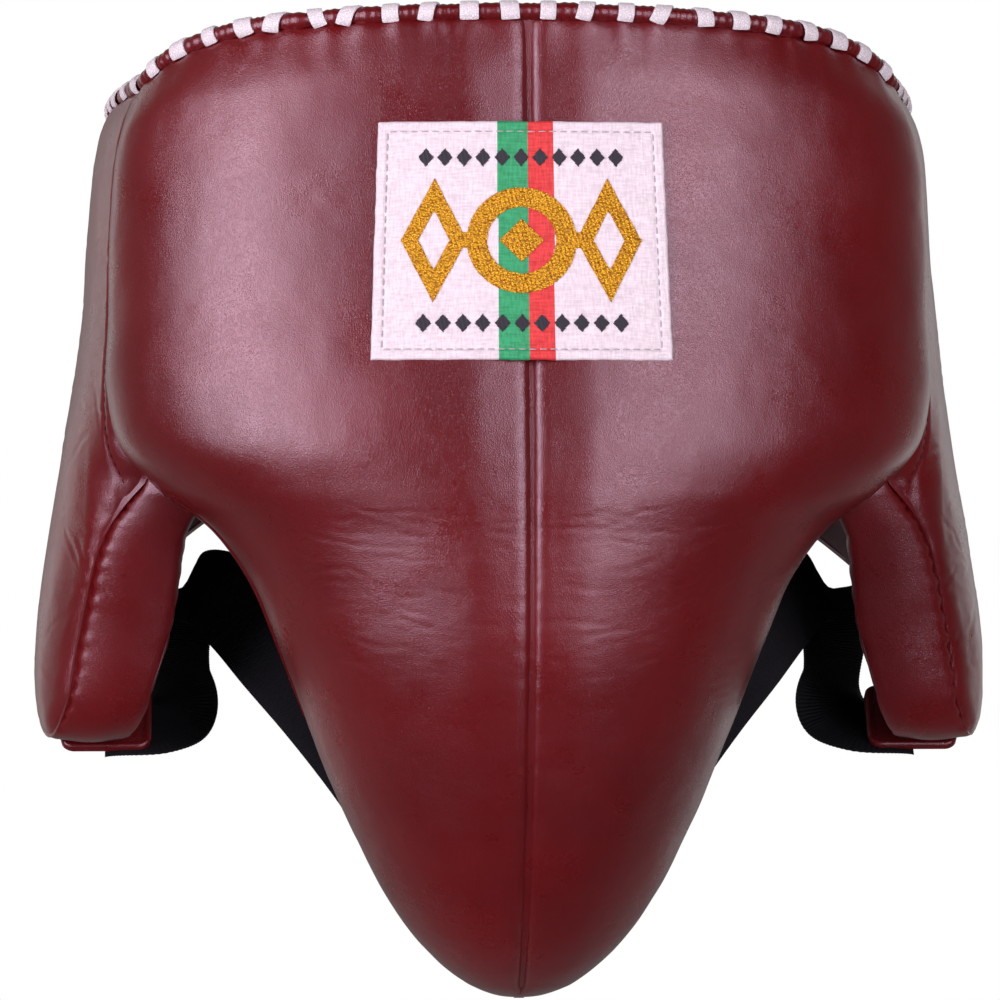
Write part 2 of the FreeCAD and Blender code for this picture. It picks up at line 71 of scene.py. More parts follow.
# ---- where the object stands in the frame ---------------------------------------------------------
MM = 0.001
FOLD_GAP = 0.3
TIP_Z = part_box("front_panel_left")[0].z
FOLD_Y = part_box("wing_panel_left")[0].y - FOLD_GAP * MM
ORIGIN = np.array([0, FOLD_Y, TIP_Z])

# ---- the pad's shape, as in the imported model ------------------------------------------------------
HEIGHT = 331                  # tip to the middle of the top edge
HALF_WIDTH = 141
BULGE = 80
PAD_THICK = 34
SIDE_THICK = 26
SKIN = 0.059                  # outer leather, as a share of the pad's thickness
LINING = 0.956                # where the lining leather starts
LEATHER = 1.8                 # thickness of the leather
WING_REACH = 158
REAR_CENTRE = 65
REAR_REACH = 122
WING_FOLD_HIGH = 312
WING_REAR_HIGH = 300

# Height above the tip, half width and bulge, from the rounded tip to above the top edge.
FRONT_PROFILE = [
    (0, 0, 0), (0.7, 8, 8), (3, 14.5, 14), (7, 21, 20), (20, 35, 35), (36, 46, 48), (60, 58, 60),
    (90, 71, 71), (120, 83, 78), (145, 94, 80), (160, 105, 80), (175, 124, 80), (190, 137, 79),
    (208, 141, 76), (234, 140, 71), (267, 139, 66), (290, 137, 63), (304, 133.5, 61), (315, 128, 60),
    (345, 105, 57),
]
# Top edge of the front: place across, and how far the edge has fallen there below its middle.
TOP_EDGE = [(-50, 1), (0, 0), (50, 1), (85, 3), (97, 4.4), (106, 6.4), (113, 8.8), (118, 11), (124, 15),
            (132, 22), (150, 42)]
# The front's rear edge: height above the tip, behind the fold plane.
LEG_EDGE = [(-10, 8), (30, 9), (65, 5), (105, -2), (140, -6), (165, -5), (180, -0.3), (400, -0.3)]
# The wing: height above the tip, half width at the fold, and how much further out its middle is.
WING_SECTIONS = [
    (70, 141, 29), (110, 141, 28), (150, 141, 23), (190, 141, 16), (234, 140, 11), (267, 139, 9),
    (290, 137, 9), (304, 133.5, 10), (315, 128, 10), (330, 117, 9),
]
# A wing's lower edge: behind the fold plane, above the tip.
WING_EDGE = [(0.3, 178), (7, 163), (20, 121), (26, 99), (37, 88), (50, 92), (62, 107), (85, 131),
             (120, 159), (158, 190)]


# ---- numeric helpers ------------------------------------------------------------------------------
def through(places, values, query):
    """A smooth curve through points, read at query."""
    places = np.asarray(places, float)
    values = np.asarray(values, float)
    slopes = np.gradient(values, places)
    index = np.clip(np.searchsorted(places, query, side="right") - 1, 0, len(places) - 2)
    span = places[index + 1] - places[index]
    t = np.clip((query - places[index]) / span, 0, 1)
    rise = values[index + 1] - values[index]
    bend = slopes[index] * span * t * (1 - t) ** 2 - slopes[index + 1] * span * t ** 2 * (1 - t)
    return values[index] + rise * t ** 2 * (3 - 2 * t) + bend


def curve(places, points, query):
    """A smooth path through points, read at query. places says how far along each point is."""
    return np.stack([through(places, points[:, axis], query) for axis in range(points.shape[1])], axis=-1)


def smooth(value):
    """0 below 0, 1 above 1, and a smooth rise between them."""
    value = np.clip(value, 0, 1)
    return value * value * (3 - 2 * value)


def unit(vectors):
    length = np.linalg.norm(vectors, axis=-1, keepdims=True)
    return vectors / np.maximum(length, 1e-9)


def walked(points):
    """Distance along a polyline to each of its points."""
    steps = np.linalg.norm(np.diff(points, axis=0), axis=1)
    return np.concatenate([[0], np.cumsum(steps)])


def read_at(where, along, points):
    """A polyline's points at places along it. along says how far along each of its own points is."""
    return np.stack([np.interp(where, along, points[:, axis]) for axis in range(3)], axis=-1)


def resample(points, count):
    """count points at even distances along a polyline."""
    along = walked(points)
    return read_at(np.linspace(0, along[-1], count), along, points)


def rows_of(points, count):
    """count points of a polyline, at even steps of the numbers of its points."""
    return read_at(np.linspace(0, len(points) - 1, count), np.arange(len(points)), points)


def grid_normals(grid):
    """Unit normals of a grid of points, rows by columns."""
    return unit(np.cross(np.gradient(grid, axis=1), np.gradient(grid, axis=0)))


LATTICE = 40


def lumps(points, cell, seed):
    """Smooth noise between -1 and 1, with lumps about one cell apart."""
    table = np.random.default_rng(seed).uniform(-1, 1, (LATTICE,) * 3)
    scaled = points / cell
    low = np.floor(scaled).astype(int)
    ease = smooth(scaled - low)
    total = np.zeros(points.shape[:-1])
    for corner in np.ndindex(2, 2, 2):
        weight = np.prod(np.where(corner, ease, 1 - ease), axis=-1)
        index = (low + corner) % LATTICE
        total += weight * table[index[..., 0], index[..., 1], index[..., 2]]
    return total


def uneven(points, seed, *layers):
    """Layers of smooth noise, each with a strength and a cell. Their seeds count up from seed."""
    total = 0
    for number, (strength, cell) in enumerate(layers):
        total = total + strength * lumps(points, cell, seed + number)
    return total


def ripple(place, length, points, waver, cell, seed):
    """Small waves along a place, whose crests wander by waver."""
    return np.sin(place / length + waver * lumps(points, cell, seed))


def bell(distance, width, middle=0):
    """1 at the middle, and next to nothing a few widths away from it."""
    return np.exp(-((distance - middle) / width) ** 2)


def rounding(distance, width, depth):
    """How far an edge rolls in at a distance from it: the whole depth at the edge, upright there."""
    share = np.clip(distance / width, 0, 1)
    return depth * (1 - np.sqrt(1 - (1 - share) ** 2))


def distance_to(points, line_points):
    """Distance from each grid point to the nearest point of a polyline."""
    nearest = np.full(points.shape[:-1], np.inf)
    for place in line_points:
        nearest = np.minimum(nearest, np.linalg.norm(points - place, axis=-1))
    return nearest


CREASE_LIP = 0.4              # height of the lip on each side of a crease, as a share of its depth


def crease_depth(across, up, folds):
    """Shallow wavy creases in the leather, as a depth at each place across and up."""
    depth = np.zeros(across.shape)
    for middle, height, tilt, length, width, strength in folds:
        near = (np.abs(across - middle) < length) & (np.abs(up - height) < length * 0.6 + 6)
        right = across[near] - middle
        above = up[near] - height
        along = right * math.cos(tilt) + above * math.sin(tilt)
        off = above * math.cos(tilt) - right * math.sin(tilt)
        off = off + 0.5 * np.sin(along / 3.7 + middle) + 0.15 * np.sin(along / 1.4 + height)
        fade = np.clip(1 - (2 * along / length) ** 2, 0, 1)
        groove = bell(off, width) - CREASE_LIP * bell(np.abs(off), width, 2 * width)
        depth[near] += strength * fade * groove
    return depth


# ---- mesh helpers ---------------------------------------------------------------------------------
def grid_faces(rows, columns, wrap_rows=False, wrap_columns=False):
    """Quads of a grid whose points are numbered row by row. A wrapped side joins its last to its first."""
    row, column = np.meshgrid(np.arange(rows - (not wrap_rows)), np.arange(columns - (not wrap_columns)),
                              indexing="ij")
    above = (row + 1) % rows
    beside = (column + 1) % columns
    corners = [row * columns + column, row * columns + beside,
               above * columns + beside, above * columns + column]
    return np.stack(corners, axis=-1).reshape(-1, 4)


def plate_part(outer, inner, faces=None):
    """A closed solid between two matching grids. faces are the quads of its outer side."""
    if faces is None:
        faces = grid_faces(*outer.shape[:2])
    verts = np.concatenate([outer.reshape(-1, 3), inner.reshape(-1, 3)])
    count = len(verts) // 2
    edges = np.stack([faces, np.roll(faces, -1, axis=1)], axis=-1).reshape(-1, 2)
    there = edges[:, 0] * count + edges[:, 1]
    back = edges[:, 1] * count + edges[:, 0]
    rim = edges[~np.isin(there, back)]
    walls = np.stack([rim[:, 1], rim[:, 0], rim[:, 0] + count, rim[:, 1] + count], axis=-1)
    faces = np.concatenate([faces, faces[:, ::-1] + count, walls])
    used, index = np.unique(faces, return_inverse=True)
    return verts[used], index.reshape(faces.shape)


def tube_part(rings):
    """A closed solid through rings of points, which are rings by points round. Its ends are fans."""
    count, around = rings.shape[:2]
    verts = np.concatenate([rings.reshape(-1, 3), rings[:1].mean(1), rings[-1:].mean(1)])
    faces = [grid_faces(count, around, wrap_columns=True)]
    here = np.arange(around)
    beside = (here + 1) % around
    first = np.full(around, count * around)
    faces.append(np.stack([beside, here, first, first], axis=-1))
    last = (count - 1) * around
    faces.append(np.stack([here + last, beside + last, first + 1, first + 1], axis=-1))
    return verts, np.concatenate(faces)


def sweep_part(path, side, face, outlines):
    """A tube along a path. outlines are (rings or 1, points round, 2): along side and along face."""
    rings = path[:, None] + side[:, None] * outlines[..., :1] + face[:, None] * outlines[..., 1:]
    return tube_part(rings)


def join(parts):
    """Several parts as one."""
    verts = []
    faces = []
    count = 0
    for part_verts, part_faces in parts:
        verts.append(part_verts)
        faces.append(part_faces + count)
        count += len(part_verts)
    return np.concatenate(verts), np.concatenate(faces)


def make(name, part, material, body=None, replaced=(), sharp=50):
    """An object from a part in millimetres. Triangles are quads whose last corner is repeated."""
    verts, faces = part
    mesh = bpy.data.meshes.new(name)
    rows = [row[:3] if row[2] == row[3] else row for row in faces.tolist()]
    mesh.from_pydata((verts * MM + ORIGIN).tolist(), [], rows)
    work = bmesh.new()
    work.from_mesh(mesh)
    bmesh.ops.remove_doubles(work, verts=work.verts, dist=1e-7)
    bmesh.ops.recalc_face_normals(work, faces=work.faces)
    work.to_mesh(mesh)
    work.free()
    mesh.shade_smooth()
    mesh.set_sharp_from_angle(angle=math.radians(sharp))
    mesh.materials.append(material)
    piece = bpy.data.objects.new(name, mesh)
    bpy.context.scene.collection.objects.link(piece)
    if replaced:
        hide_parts(*replaced)
    if body:
        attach(piece, body)
    return piece


SIDES = {"left": -1, "right": 1}


def flipped(points, sign):
    """Points of the right side moved to the side of that sign."""
    return points * np.array([sign, 1, 1])


def make_wing_piece(name, part, material, replaced=(), sharp=50):
    """An object for a piece of a wing, with its placement baked into its mesh; it is given no body."""
    piece = make(name, part, material, None, replaced, sharp)
    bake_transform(piece)
    return piece


# ---- materials ------------------------------------------------------------------------------------
class Paint:
    """A node material. Textures are in object space, so that they keep their real size."""

    def __init__(self, name, rough, **values):
        self.material = bpy.data.materials.new(name)
        self.material.use_nodes = True
        self.tree = self.material.node_tree
        self.shader = self.tree.nodes["Principled BSDF"]
        self.shader.inputs["Roughness"].default_value = rough
        for socket, value in values.items():
            self.shader.inputs[socket.replace("_", " ")].default_value = value
        self.place = self.node("ShaderNodeTexCoord").outputs["Object"]

    def node(self, kind, settings=(), **inputs):
        made = self.tree.nodes.new(kind)
        for key, value in dict(settings).items():
            setattr(made, key, value)
        for key, value in inputs.items():
            socket = made.inputs[key.replace("_", " ")]
            if isinstance(value, bpy.types.NodeSocket):
                self.tree.links.new(value, socket)
            else:
                socket.default_value = value
        return made

    def noise(self, scale, detail=3, roughness=0.5, stretch=(1, 1, 1)):
        """Noise from 0 to 1 with features about 1 / scale metres apart."""
        place = self.node("ShaderNodeMapping", Vector=self.place, Scale=stretch).outputs["Vector"]
        return self.node("ShaderNodeTexNoise", Vector=place, Scale=scale, Detail=detail,
                         Roughness=roughness).outputs["Fac"]

    def cells(self, scale, feature="DISTANCE_TO_EDGE"):
        """Voronoi cells about 1 / scale metres across."""
        wander = self.node("ShaderNodeTexNoise", Vector=self.place, Scale=scale * 0.7, Detail=1.0)
        shift = self.node("ShaderNodeVectorMath", {"operation": "SCALE"}, Scale=0.6 / scale)
        self.tree.links.new(wander.outputs["Color"], shift.inputs[0])
        moved = self.node("ShaderNodeVectorMath", {"operation": "ADD"})
        self.tree.links.new(self.place, moved.inputs[0])
        self.tree.links.new(shift.outputs[0], moved.inputs[1])
        return self.node("ShaderNodeTexVoronoi", {"feature": feature}, Vector=moved.outputs[0],
                         Scale=scale).outputs["Distance"]

    def ramp(self, value, low, high, start=0.0, end=1.0):
        """The value stretched so that low gives start and high gives end."""
        return self.node("ShaderNodeMapRange", Value=value, From_Min=low, From_Max=high, To_Min=start,
                         To_Max=end).outputs["Result"]

    def mix(self, factor, first, second):
        """A colour between two others."""
        mixed = self.node("ShaderNodeMix", {"data_type": "RGBA"})
        for socket, value in ((mixed.inputs["Factor"], factor), (mixed.inputs[6], first),
                              (mixed.inputs[7], second)):
            if isinstance(value, bpy.types.NodeSocket):
                self.tree.links.new(value, socket)
            else:
                socket.default_value = value
        return mixed.outputs[2]

    def math(self, operation, first, second):
        made = self.node("ShaderNodeMath", {"operation": operation})
        for socket, value in zip(made.inputs, (first, second)):
            if isinstance(value, bpy.types.NodeSocket):
                self.tree.links.new(value, socket)
            else:
                socket.default_value = value
        return made.outputs[0]

    def finish(self, colour, rough=None, height=None, depth=0.0002, strength=0.5):
        """Joins colour, roughness and bump to the shader. depth is the bump's height in metres."""
        self.tree.links.new(colour, self.shader.inputs["Base Color"])
        if rough is not None:
            self.tree.links.new(rough, self.shader.inputs["Roughness"])
        if height is not None:
            bump = self.node("ShaderNodeBump", Height=height, Distance=depth, Strength=strength)
            self.tree.links.new(bump.outputs["Normal"], self.shader.inputs["Normal"])
        return self.material


def colour(red, green, blue):
    return (red, green, blue, 1)


def leather_material(name, dark, light, rough, coat):
    paint = Paint(name, rough, Coat_Weight=coat, Coat_Roughness=0.3, Specular_IOR_Level=0.75,
                  Specular_Tint=colour(1, 0.86, 1))
    tone = paint.mix(paint.ramp(paint.noise(14, 4), 0.35, 0.65), dark, light)
    speckle = paint.mix(paint.ramp(paint.noise(900, 2), 0.3, 0.8, 0, 0.35), tone, dark)
    grain = paint.ramp(paint.cells(1500), 0.0, 0.35)
    fine = paint.noise(2600, 2)
    soft = paint.noise(320, 4, 0.6)
    height = paint.math("ADD", paint.math("MULTIPLY", grain, 0.5), paint.math("MULTIPLY", fine, 0.3))
    height = paint.math("ADD", height, soft)
    patchy = paint.ramp(paint.noise(45, 5, 0.6), 0.3, 0.7, rough - 0.04, rough + 0.06)
    return paint.finish(speckle, patchy, height, 0.0003, 0.3)


def elastic_material():
    paint = Paint("black_elastic", 0.75, Specular_IOR_Level=0.25)
    yarn = paint.noise(2200, 2, 0.6)
    tone = paint.mix(yarn, colour(0.0015, 0.0017, 0.0026), colour(0.010, 0.011, 0.015))
    return paint.finish(tone, None, yarn, 0.0003, 0.5)


def lace_material():
    paint = Paint("white_lace", 0.6, Sheen_Weight=0.15, Sheen_Roughness=0.4)
    plait = paint.cells(1300)
    tone = paint.mix(paint.ramp(plait, 0, 0.3), colour(0.58, 0.57, 0.58), colour(0.86, 0.85, 0.86))
    grime = paint.mix(paint.ramp(paint.noise(120, 3), 0.55, 0.85, 0, 0.35), tone,
                      colour(0.55, 0.50, 0.52))
    return paint.finish(grime, None, plait, 0.0004, 0.7)


def cloth_material(name, dark, light, scale=1500):
    """A closely woven cloth whose threads cross at right angles."""
    paint = Paint(name, 0.55, Sheen_Weight=0.1, Sheen_Roughness=0.35)
    warp = paint.noise(scale, 2, 0.5, (1, 1, 0.12))
    weft = paint.noise(scale, 2, 0.5, (0.12, 1, 1))
    height = paint.math("ADD", warp, weft)
    tone = paint.mix(paint.ramp(height, 0.75, 1.25), dark, light)
    return paint.finish(tone, None, height, 0.00025, 0.5)


def thread_material(name, dark, light):
    paint = Paint(name, 0.6)
    twist = paint.noise(3000, 1)
    return paint.finish(paint.mix(twist, dark, light), None, twist, 0.0001, 0.5)


def gold_material():
    """Metallic embroidery thread. Its colour carries a painted glint: bright gold at the middle of each
    small cell, dark gold between them.
    """
    paint = Paint("gold_embroidery", 0.42, Metallic=0.55)
    glint = paint.cells(1500, "F1")
    # painted glint: the colour runs from bright gold at each cell's middle to dark gold away from it; the
    # same cells also give the bump
    tone = paint.mix(paint.ramp(glint, 0.15, 0.75), colour(0.92, 0.52, 0.02), colour(0.36, 0.15, 0.006))
    return paint.finish(tone, None, glint, 0.0004, 0.9)


def foam_material():
    paint = Paint("padding_foam", 0.9)
    pores = paint.cells(700)
    tone = paint.mix(paint.ramp(pores, 0, 0.3), colour(0.45, 0.38, 0.22), colour(0.75, 0.68, 0.48))
    return paint.finish(tone, None, pores, 0.0006, 0.8)


def cup_material():
    paint = Paint("moulded_cup", 0.5)
    scuffs = paint.noise(60, 5, 0.65, (1, 1, 0.3))
    tone = paint.mix(scuffs, colour(0.02, 0.02, 0.022), colour(0.06, 0.06, 0.065))
    return paint.finish(tone, paint.ramp(scuffs, 0.3, 0.7, 0.42, 0.6), paint.noise(900, 2), 0.0001, 0.3)


def hook_material():
    paint = Paint("hook_and_loop_tape", 0.8, Sheen_Weight=0.2, Sheen_Roughness=0.5)
    pile = paint.cells(1100, "F1")
    tone = paint.mix(paint.ramp(pile, 0.1, 0.7), colour(0.03, 0.03, 0.034), colour(0.004, 0.004, 0.005))
    return paint.finish(tone, None, pile, 0.0007, 1.0)


LEATHER_SKIN = leather_material("burgundy_leather", colour(0.096, 0.0020, 0.0026),
                                colour(0.130, 0.0036, 0.0044), 0.29, 0.3)
LEATHER_LINING = leather_material("lining_leather", colour(0.07, 0.005, 0.006),
                                  colour(0.10, 0.008, 0.01), 0.52, 0.0)
ELASTIC = elastic_material()
LACE = lace_material()
CLOTH_WHITE = cloth_material("label_white", colour(0.62, 0.58, 0.60), colour(0.80, 0.76, 0.78))
CLOTH_GREEN = cloth_material("label_green", colour(0.012, 0.26, 0.09), colour(0.03, 0.40, 0.16))
CLOTH_RED = cloth_material("label_red", colour(0.50, 0.02, 0.02), colour(0.75, 0.05, 0.05))
THREAD_DARK = thread_material("thread_burgundy", colour(0.02, 0.002, 0.003), colour(0.06, 0.006, 0.008))
THREAD_GREY = thread_material("thread_grey", colour(0.30, 0.28, 0.30), colour(0.52, 0.50, 0.52))
THREAD_NAVY = thread_material("thread_navy", colour(0.006, 0.006, 0.012), colour(0.02, 0.022, 0.035))
GOLD = gold_material()
FOAM = foam_material()
CUP = cup_material()
HOOKS = hook_material()

# ---- camera and light -----------------------------------------------------------------------------
CAMERA_DISTANCE = 1.6
CAMERA_TURN = -3              # degrees; on the viewer's left
CAMERA_UP = 171               # height of the camera's axis above the tip
CAMERA_ASIDE = -6.5           # sideways place of the aim point, in millimetres
FRAME_WIDTH = 0.3434          # width of the view at the fold plane
SENSOR_WIDTH = 36

scene = bpy.context.scene
aim = Vector((CAMERA_ASIDE * MM, FOLD_Y, TIP_Z + CAMERA_UP * MM))
turn = math.radians(CAMERA_TURN)
camera_data = bpy.data.cameras.new("camera")
camera_data.sensor_width = SENSOR_WIDTH
camera_data.lens = SENSOR_WIDTH * CAMERA_DISTANCE / FRAME_WIDTH
camera = bpy.data.objects.new("camera", camera_data)
camera.location = aim + CAMERA_DISTANCE * Vector((math.sin(turn), -math.cos(turn), 0))
camera.rotation_euler = (math.radians(90), 0, turn)
scene.collection.objects.link(camera)
scene.camera = camera


def softbox(name, azimuth, distance, height, wide, tall, power, tint=(1, 1, 1)):
    """A rectangular light round the object, facing its middle. Azimuth 0 is straight in front."""
    light = bpy.data.lights.new(name, "AREA")
    light.shape = "RECTANGLE"
    light.size = wide
    light.size_y = tall
    light.energy = power
    light.color = tint
    lamp = bpy.data.objects.new(name, light)
    angle = math.radians(azimuth)
    lamp.location = (math.sin(angle) * distance, -math.cos(angle) * distance, height)
    middle = Vector((0, 0, TIP_Z + 0.5 * HEIGHT * MM))
    lamp.rotation_euler = (lamp.location - middle).to_track_quat("Z", "Y").to_euler()
    lamp.visible_camera = False
    scene.collection.objects.link(lamp)


softbox("key_left", -49, 1.9, 0.35, 0.95, 1.5, 34, (1, 0.85, 0.96))
softbox("key_right", 26, 1.9, 0.35, 0.8, 1.5, 24, (1, 0.85, 0.96))
softbox("rim_left", -140, 1.6, 0.1, 0.5, 1.6, 2)
softbox("rim_right", 140, 1.6, 0.1, 0.5, 1.6, 2)

# The leather reflects a grey room behind the object and a dark one in front. The camera sees white.
FRONT_SHADE = 0.008
REAR_SHADE = 0.22
ROOM_TURN = (-0.35, 0.75)     # where the room turns from dark to grey, from -1 in front to 1 behind
world = bpy.data.worlds.new("studio")
scene.world = world
world.use_nodes = True
sky = world.node_tree
direction = sky.nodes.new("ShaderNodeTexCoord")
split = sky.nodes.new("ShaderNodeSeparateXYZ")
sky.links.new(direction.outputs["Generated"], split.inputs[0])
room = sky.nodes.new("ShaderNodeMapRange")
room.interpolation_type = "SMOOTHSTEP"
for socket, value in (("From Min", ROOM_TURN[0]), ("From Max", ROOM_TURN[1]), ("To Min", FRONT_SHADE),
                      ("To Max", REAR_SHADE)):
    room.inputs[socket].default_value = value
sky.links.new(split.outputs["Y"], room.inputs["Value"])
seen = sky.nodes.new("ShaderNodeLightPath")
level = sky.nodes.new("ShaderNodeMath")
level.operation = "MAXIMUM"
sky.links.new(seen.outputs["Is Camera Ray"], level.inputs[0])
sky.links.new(room.outputs["Result"], level.inputs[1])
sky.links.new(level.outputs[0], sky.nodes["Background"].inputs["Strength"])
sky.nodes["Background"].inputs["Color"].default_value = colour(1, 1, 1)
scene.view_settings.view_transform = "Standard"

FLOOR_DROP = 0.25
floor_paint = Paint("floor", 0.9)
floor_tone = floor_paint.mix(floor_paint.noise(3), colour(0.86, 0.86, 0.86), colour(0.9, 0.9, 0.9))
floor_mesh = bpy.data.meshes.new("floor")
FLOOR_HALF = 2.1
floor_level = cad_low.z - FLOOR_DROP
floor_mesh.from_pydata([(x * FLOOR_HALF, y * FLOOR_HALF, floor_level)
                        for x, y in ((-1, -1), (1, -1), (1, 1), (-1, 1))], [], [(0, 1, 2, 3)])
floor_mesh.materials.append(floor_paint.finish(floor_tone))
floor = bpy.data.objects.new("floor", floor_mesh)
scene.collection.objects.link(floor)
floor.visible_glossy = False     # the leather reflects the dark room in front, not the floor

# ---- front pad ------------------------------------------------------------------------------------
profile = np.array(FRONT_PROFILE, float)
profile_reach = walked(profile[:, :2])
PROFILE_STEPS = 2400
dense = np.linspace(0, profile_reach[-1], PROFILE_STEPS)
dense_up, dense_half, dense_bulge = curve(profile_reach, profile, dense).T
dense_up = np.maximum.accumulate(dense_up)


def top_fall(x):
    """How far the arched top edge lies below its middle."""
    places, falls = zip(*TOP_EDGE)
    return through(places, falls, np.abs(x))


def leg_edge(up):
    """How far behind the fold plane the front pad ends at a height."""
    heights, behind = zip(*LEG_EDGE)
    return through(heights, behind, up)


FRONT_ROWS = 400
FRONT_COLUMNS = 190
ARC_FROM = 225                # height where the rows start to follow the arched top edge
EDGE_PASSES = 7               # the place across and the fall of the edge are found in turn
ARC_STEPS = 160               # fine steps round a row's arc, and along its straight end behind the arc
END_STEPS = 11


def front_grid(share, rows=FRONT_ROWS, columns=FRONT_COLUMNS):
    """The right half of the pad at a share of its thickness: rows from the tip, columns from the seam."""
    across = 1 - share * SIDE_THICK / HALF_WIDTH
    forward = 1 - share * PAD_THICK / BULGE
    upright = 1 - share * PAD_THICK / HEIGHT
    last = np.interp(HEIGHT, dense_up, dense)
    nominal = np.interp(np.linspace(0, last, rows), dense, dense_up)
    arc_share = smooth((nominal - ARC_FROM) / (HEIGHT - ARC_FROM))
    x = np.zeros((rows, columns))
    level = np.zeros((rows, columns))
    behind = np.zeros((rows, columns))
    for _ in range(EDGE_PASSES):
        lowered = arc_share[:, None] * top_fall(x / across)
        up = np.minimum(nominal[:, None] - lowered / upright, HEIGHT)
        half = np.interp(up, dense_up, dense_half) * across
        bulge = np.interp(up, dense_up, dense_bulge) * forward
        level = HEIGHT - (HEIGHT - up) * upright
        end = leg_edge(level[:, -1])
        for row in range(rows):
            ratio = np.clip(-end[row] / max(bulge[row, -1], 1e-6), 0, 0.9)
            turns = np.linspace(0, math.acos(ratio), ARC_STEPS)
            path_x = half[row, -1] * np.sin(turns)
            path_y = -bulge[row, -1] * np.cos(turns)
            straight = np.linspace(0, max(end[row], 0), END_STEPS + 1)[1:]
            reach = walked(np.stack([np.append(path_x, straight * 0 + path_x[-1]),
                                     np.append(path_y, straight)], axis=1))
            wanted = np.linspace(0, reach[-1], columns)
            angle = np.interp(wanted, reach, np.append(turns, straight * 0 + turns[-1]))
            past = np.interp(wanted, reach, np.append(turns * 0, straight))
            x[row] = half[row] * np.sin(angle)
            behind[row] = -bulge[row] * np.cos(angle) + past
    return np.stack([x, behind, level], axis=-1)


def column_reach(grid):
    """Distance along each row from its first point."""
    steps = np.linalg.norm(np.diff(grid, axis=1), axis=-1)
    return np.concatenate([np.zeros((len(grid), 1)), np.cumsum(steps, axis=1)], axis=1)


# Creased regions of a front panel: from and to across, from and to above the tip, number, depth.
CREASED = [(3, 80, 118, 168, 110, 0.055), (4, 60, 20, 120, 80, 0.035), (10, 120, 180, 300, 30, 0.02),
           (56, 92, 95, 150, 34, 0.07)]


def front_creases(sign):
    """The creases of one front panel: place, tilt, length, width and depth of each."""
    random = np.random.default_rng(11 + sign)
    folds = []
    for near, far, low, high, count, depth in CREASED:
        for _ in range(count):
            middle = random.uniform(near, far)
            height = random.uniform(low, high)
            tilt = random.normal(0.08, 0.13)
            length = random.uniform(10, 30)
            folds.append((middle, height, tilt, length, random.uniform(0.5, 1.0),
                          depth * random.uniform(0.4, 1)))
    return folds


SEAM_TUCK = (6, 2.4)          # width and depth of each tuck
LEG_TUCK = (11, 4.2)
FOLD_TUCK = (7, 2.2)
TOP_TUCK = (4, 1.2)
SEAM_GROOVE = 0.9             # depth of the groove along the centre seam, and its width
SEAM_GROOVE_WIDE = 1.2
LEG_TOP = 180                 # height where the leg edge ends and the fold starts
PLUMP = 1.6
PUCKER = 0.16                 # height of the small waves along the seams
DRAG = 0.14                   # height of the waves that the lace pulls into the leather
LACE_DIP = 0.5                # depth of the leather's dip under each turn of lace
LACE_PITCH = 12.5


def front_skin(sign):
    """The outer surface of one front panel, with its tucks, creases and unevenness."""
    base = front_grid(0)
    normals = grid_normals(base)
    placed = flipped(base, sign)
    reach = column_reach(base)
    tilt = np.gradient(base[:, -1], axis=0)
    upright = np.abs(tilt[:, 2]) / np.maximum(np.linalg.norm(tilt, axis=1), 1e-6)
    to_edge = (reach[:, -1:] - reach) * np.maximum(upright[:, None], 0.5)
    crest = base[-1:, :, 2]
    to_top = crest - base[..., 2]
    up = base[..., 2]
    leg_share = smooth((LEG_TOP + 10 - up) / 20)
    lift = PLUMP * smooth(reach / 22) * smooth(to_edge / 25) * smooth(to_top / 22)
    lift -= rounding(reach, *SEAM_TUCK) + SEAM_GROOVE * bell(reach, SEAM_GROOVE_WIDE)
    lift -= leg_share * rounding(to_edge, *LEG_TUCK) + (1 - leg_share) * rounding(to_edge, *FOLD_TUCK)
    lift -= rounding(to_top, *TOP_TUCK)
    lift += uneven(placed, 1, (0.7, 42), (0.22, 17), (0.07, 6))
    lift -= crease_depth(reach, up, front_creases(sign))
    near_seams = np.exp(-to_edge / 5) + 0.7 * np.exp(-reach / 4)
    lift += PUCKER * ripple(up, 1.5, placed, 3, 12, 4) * near_seams * smooth(up / 20)
    lift += DRAG * ripple(reach, 1.6, placed, 4, 16, 5) * np.exp(-to_top / 9)
    lift -= LACE_DIP * np.cos(reach * 2 * math.pi / LACE_PITCH) * np.exp(-to_top / 5)
    fade = smooth(up / 6)
    moved = base + normals * (lift * fade - (1 - fade) * 0.5)[..., None]
    moved[:, 0, 0] = 0
    moved[..., 0] = np.maximum(moved[..., 0], 0)
    return moved, base - normals * LEATHER


def both_halves(left, right):
    """One grid from a left half and a right half that meet at the first column."""
    return np.concatenate([left[:, :0:-1], right], axis=1)


CALM_REACH = 12               # points to each side over which an edge's ripples are averaged
EDGE_FADE = 2                 # how far an edge's ripples reach into a strip
STRIP_ROUND = 3               # how wide a strip's edge rolls in
STRIP_NARROW = 6              # a strip narrower than this lies flatter


def calmed(edge, wrap):
    """An edge without its small ripples."""
    mode = "wrap" if wrap else "reflect"
    padded = np.pad(edge, ((CALM_REACH, CALM_REACH), (0, 0)), mode=mode)
    if not wrap:
        padded[:CALM_REACH] = 2 * edge[:1] - padded[:CALM_REACH]
        padded[-CALM_REACH:] = 2 * edge[-1:] - padded[-CALM_REACH:]
    weights = np.hanning(2 * CALM_REACH + 3)[1:-1]
    weights /= weights.sum()
    return np.stack([np.convolve(padded[:, axis], weights, mode="valid") for axis in range(3)], axis=1)


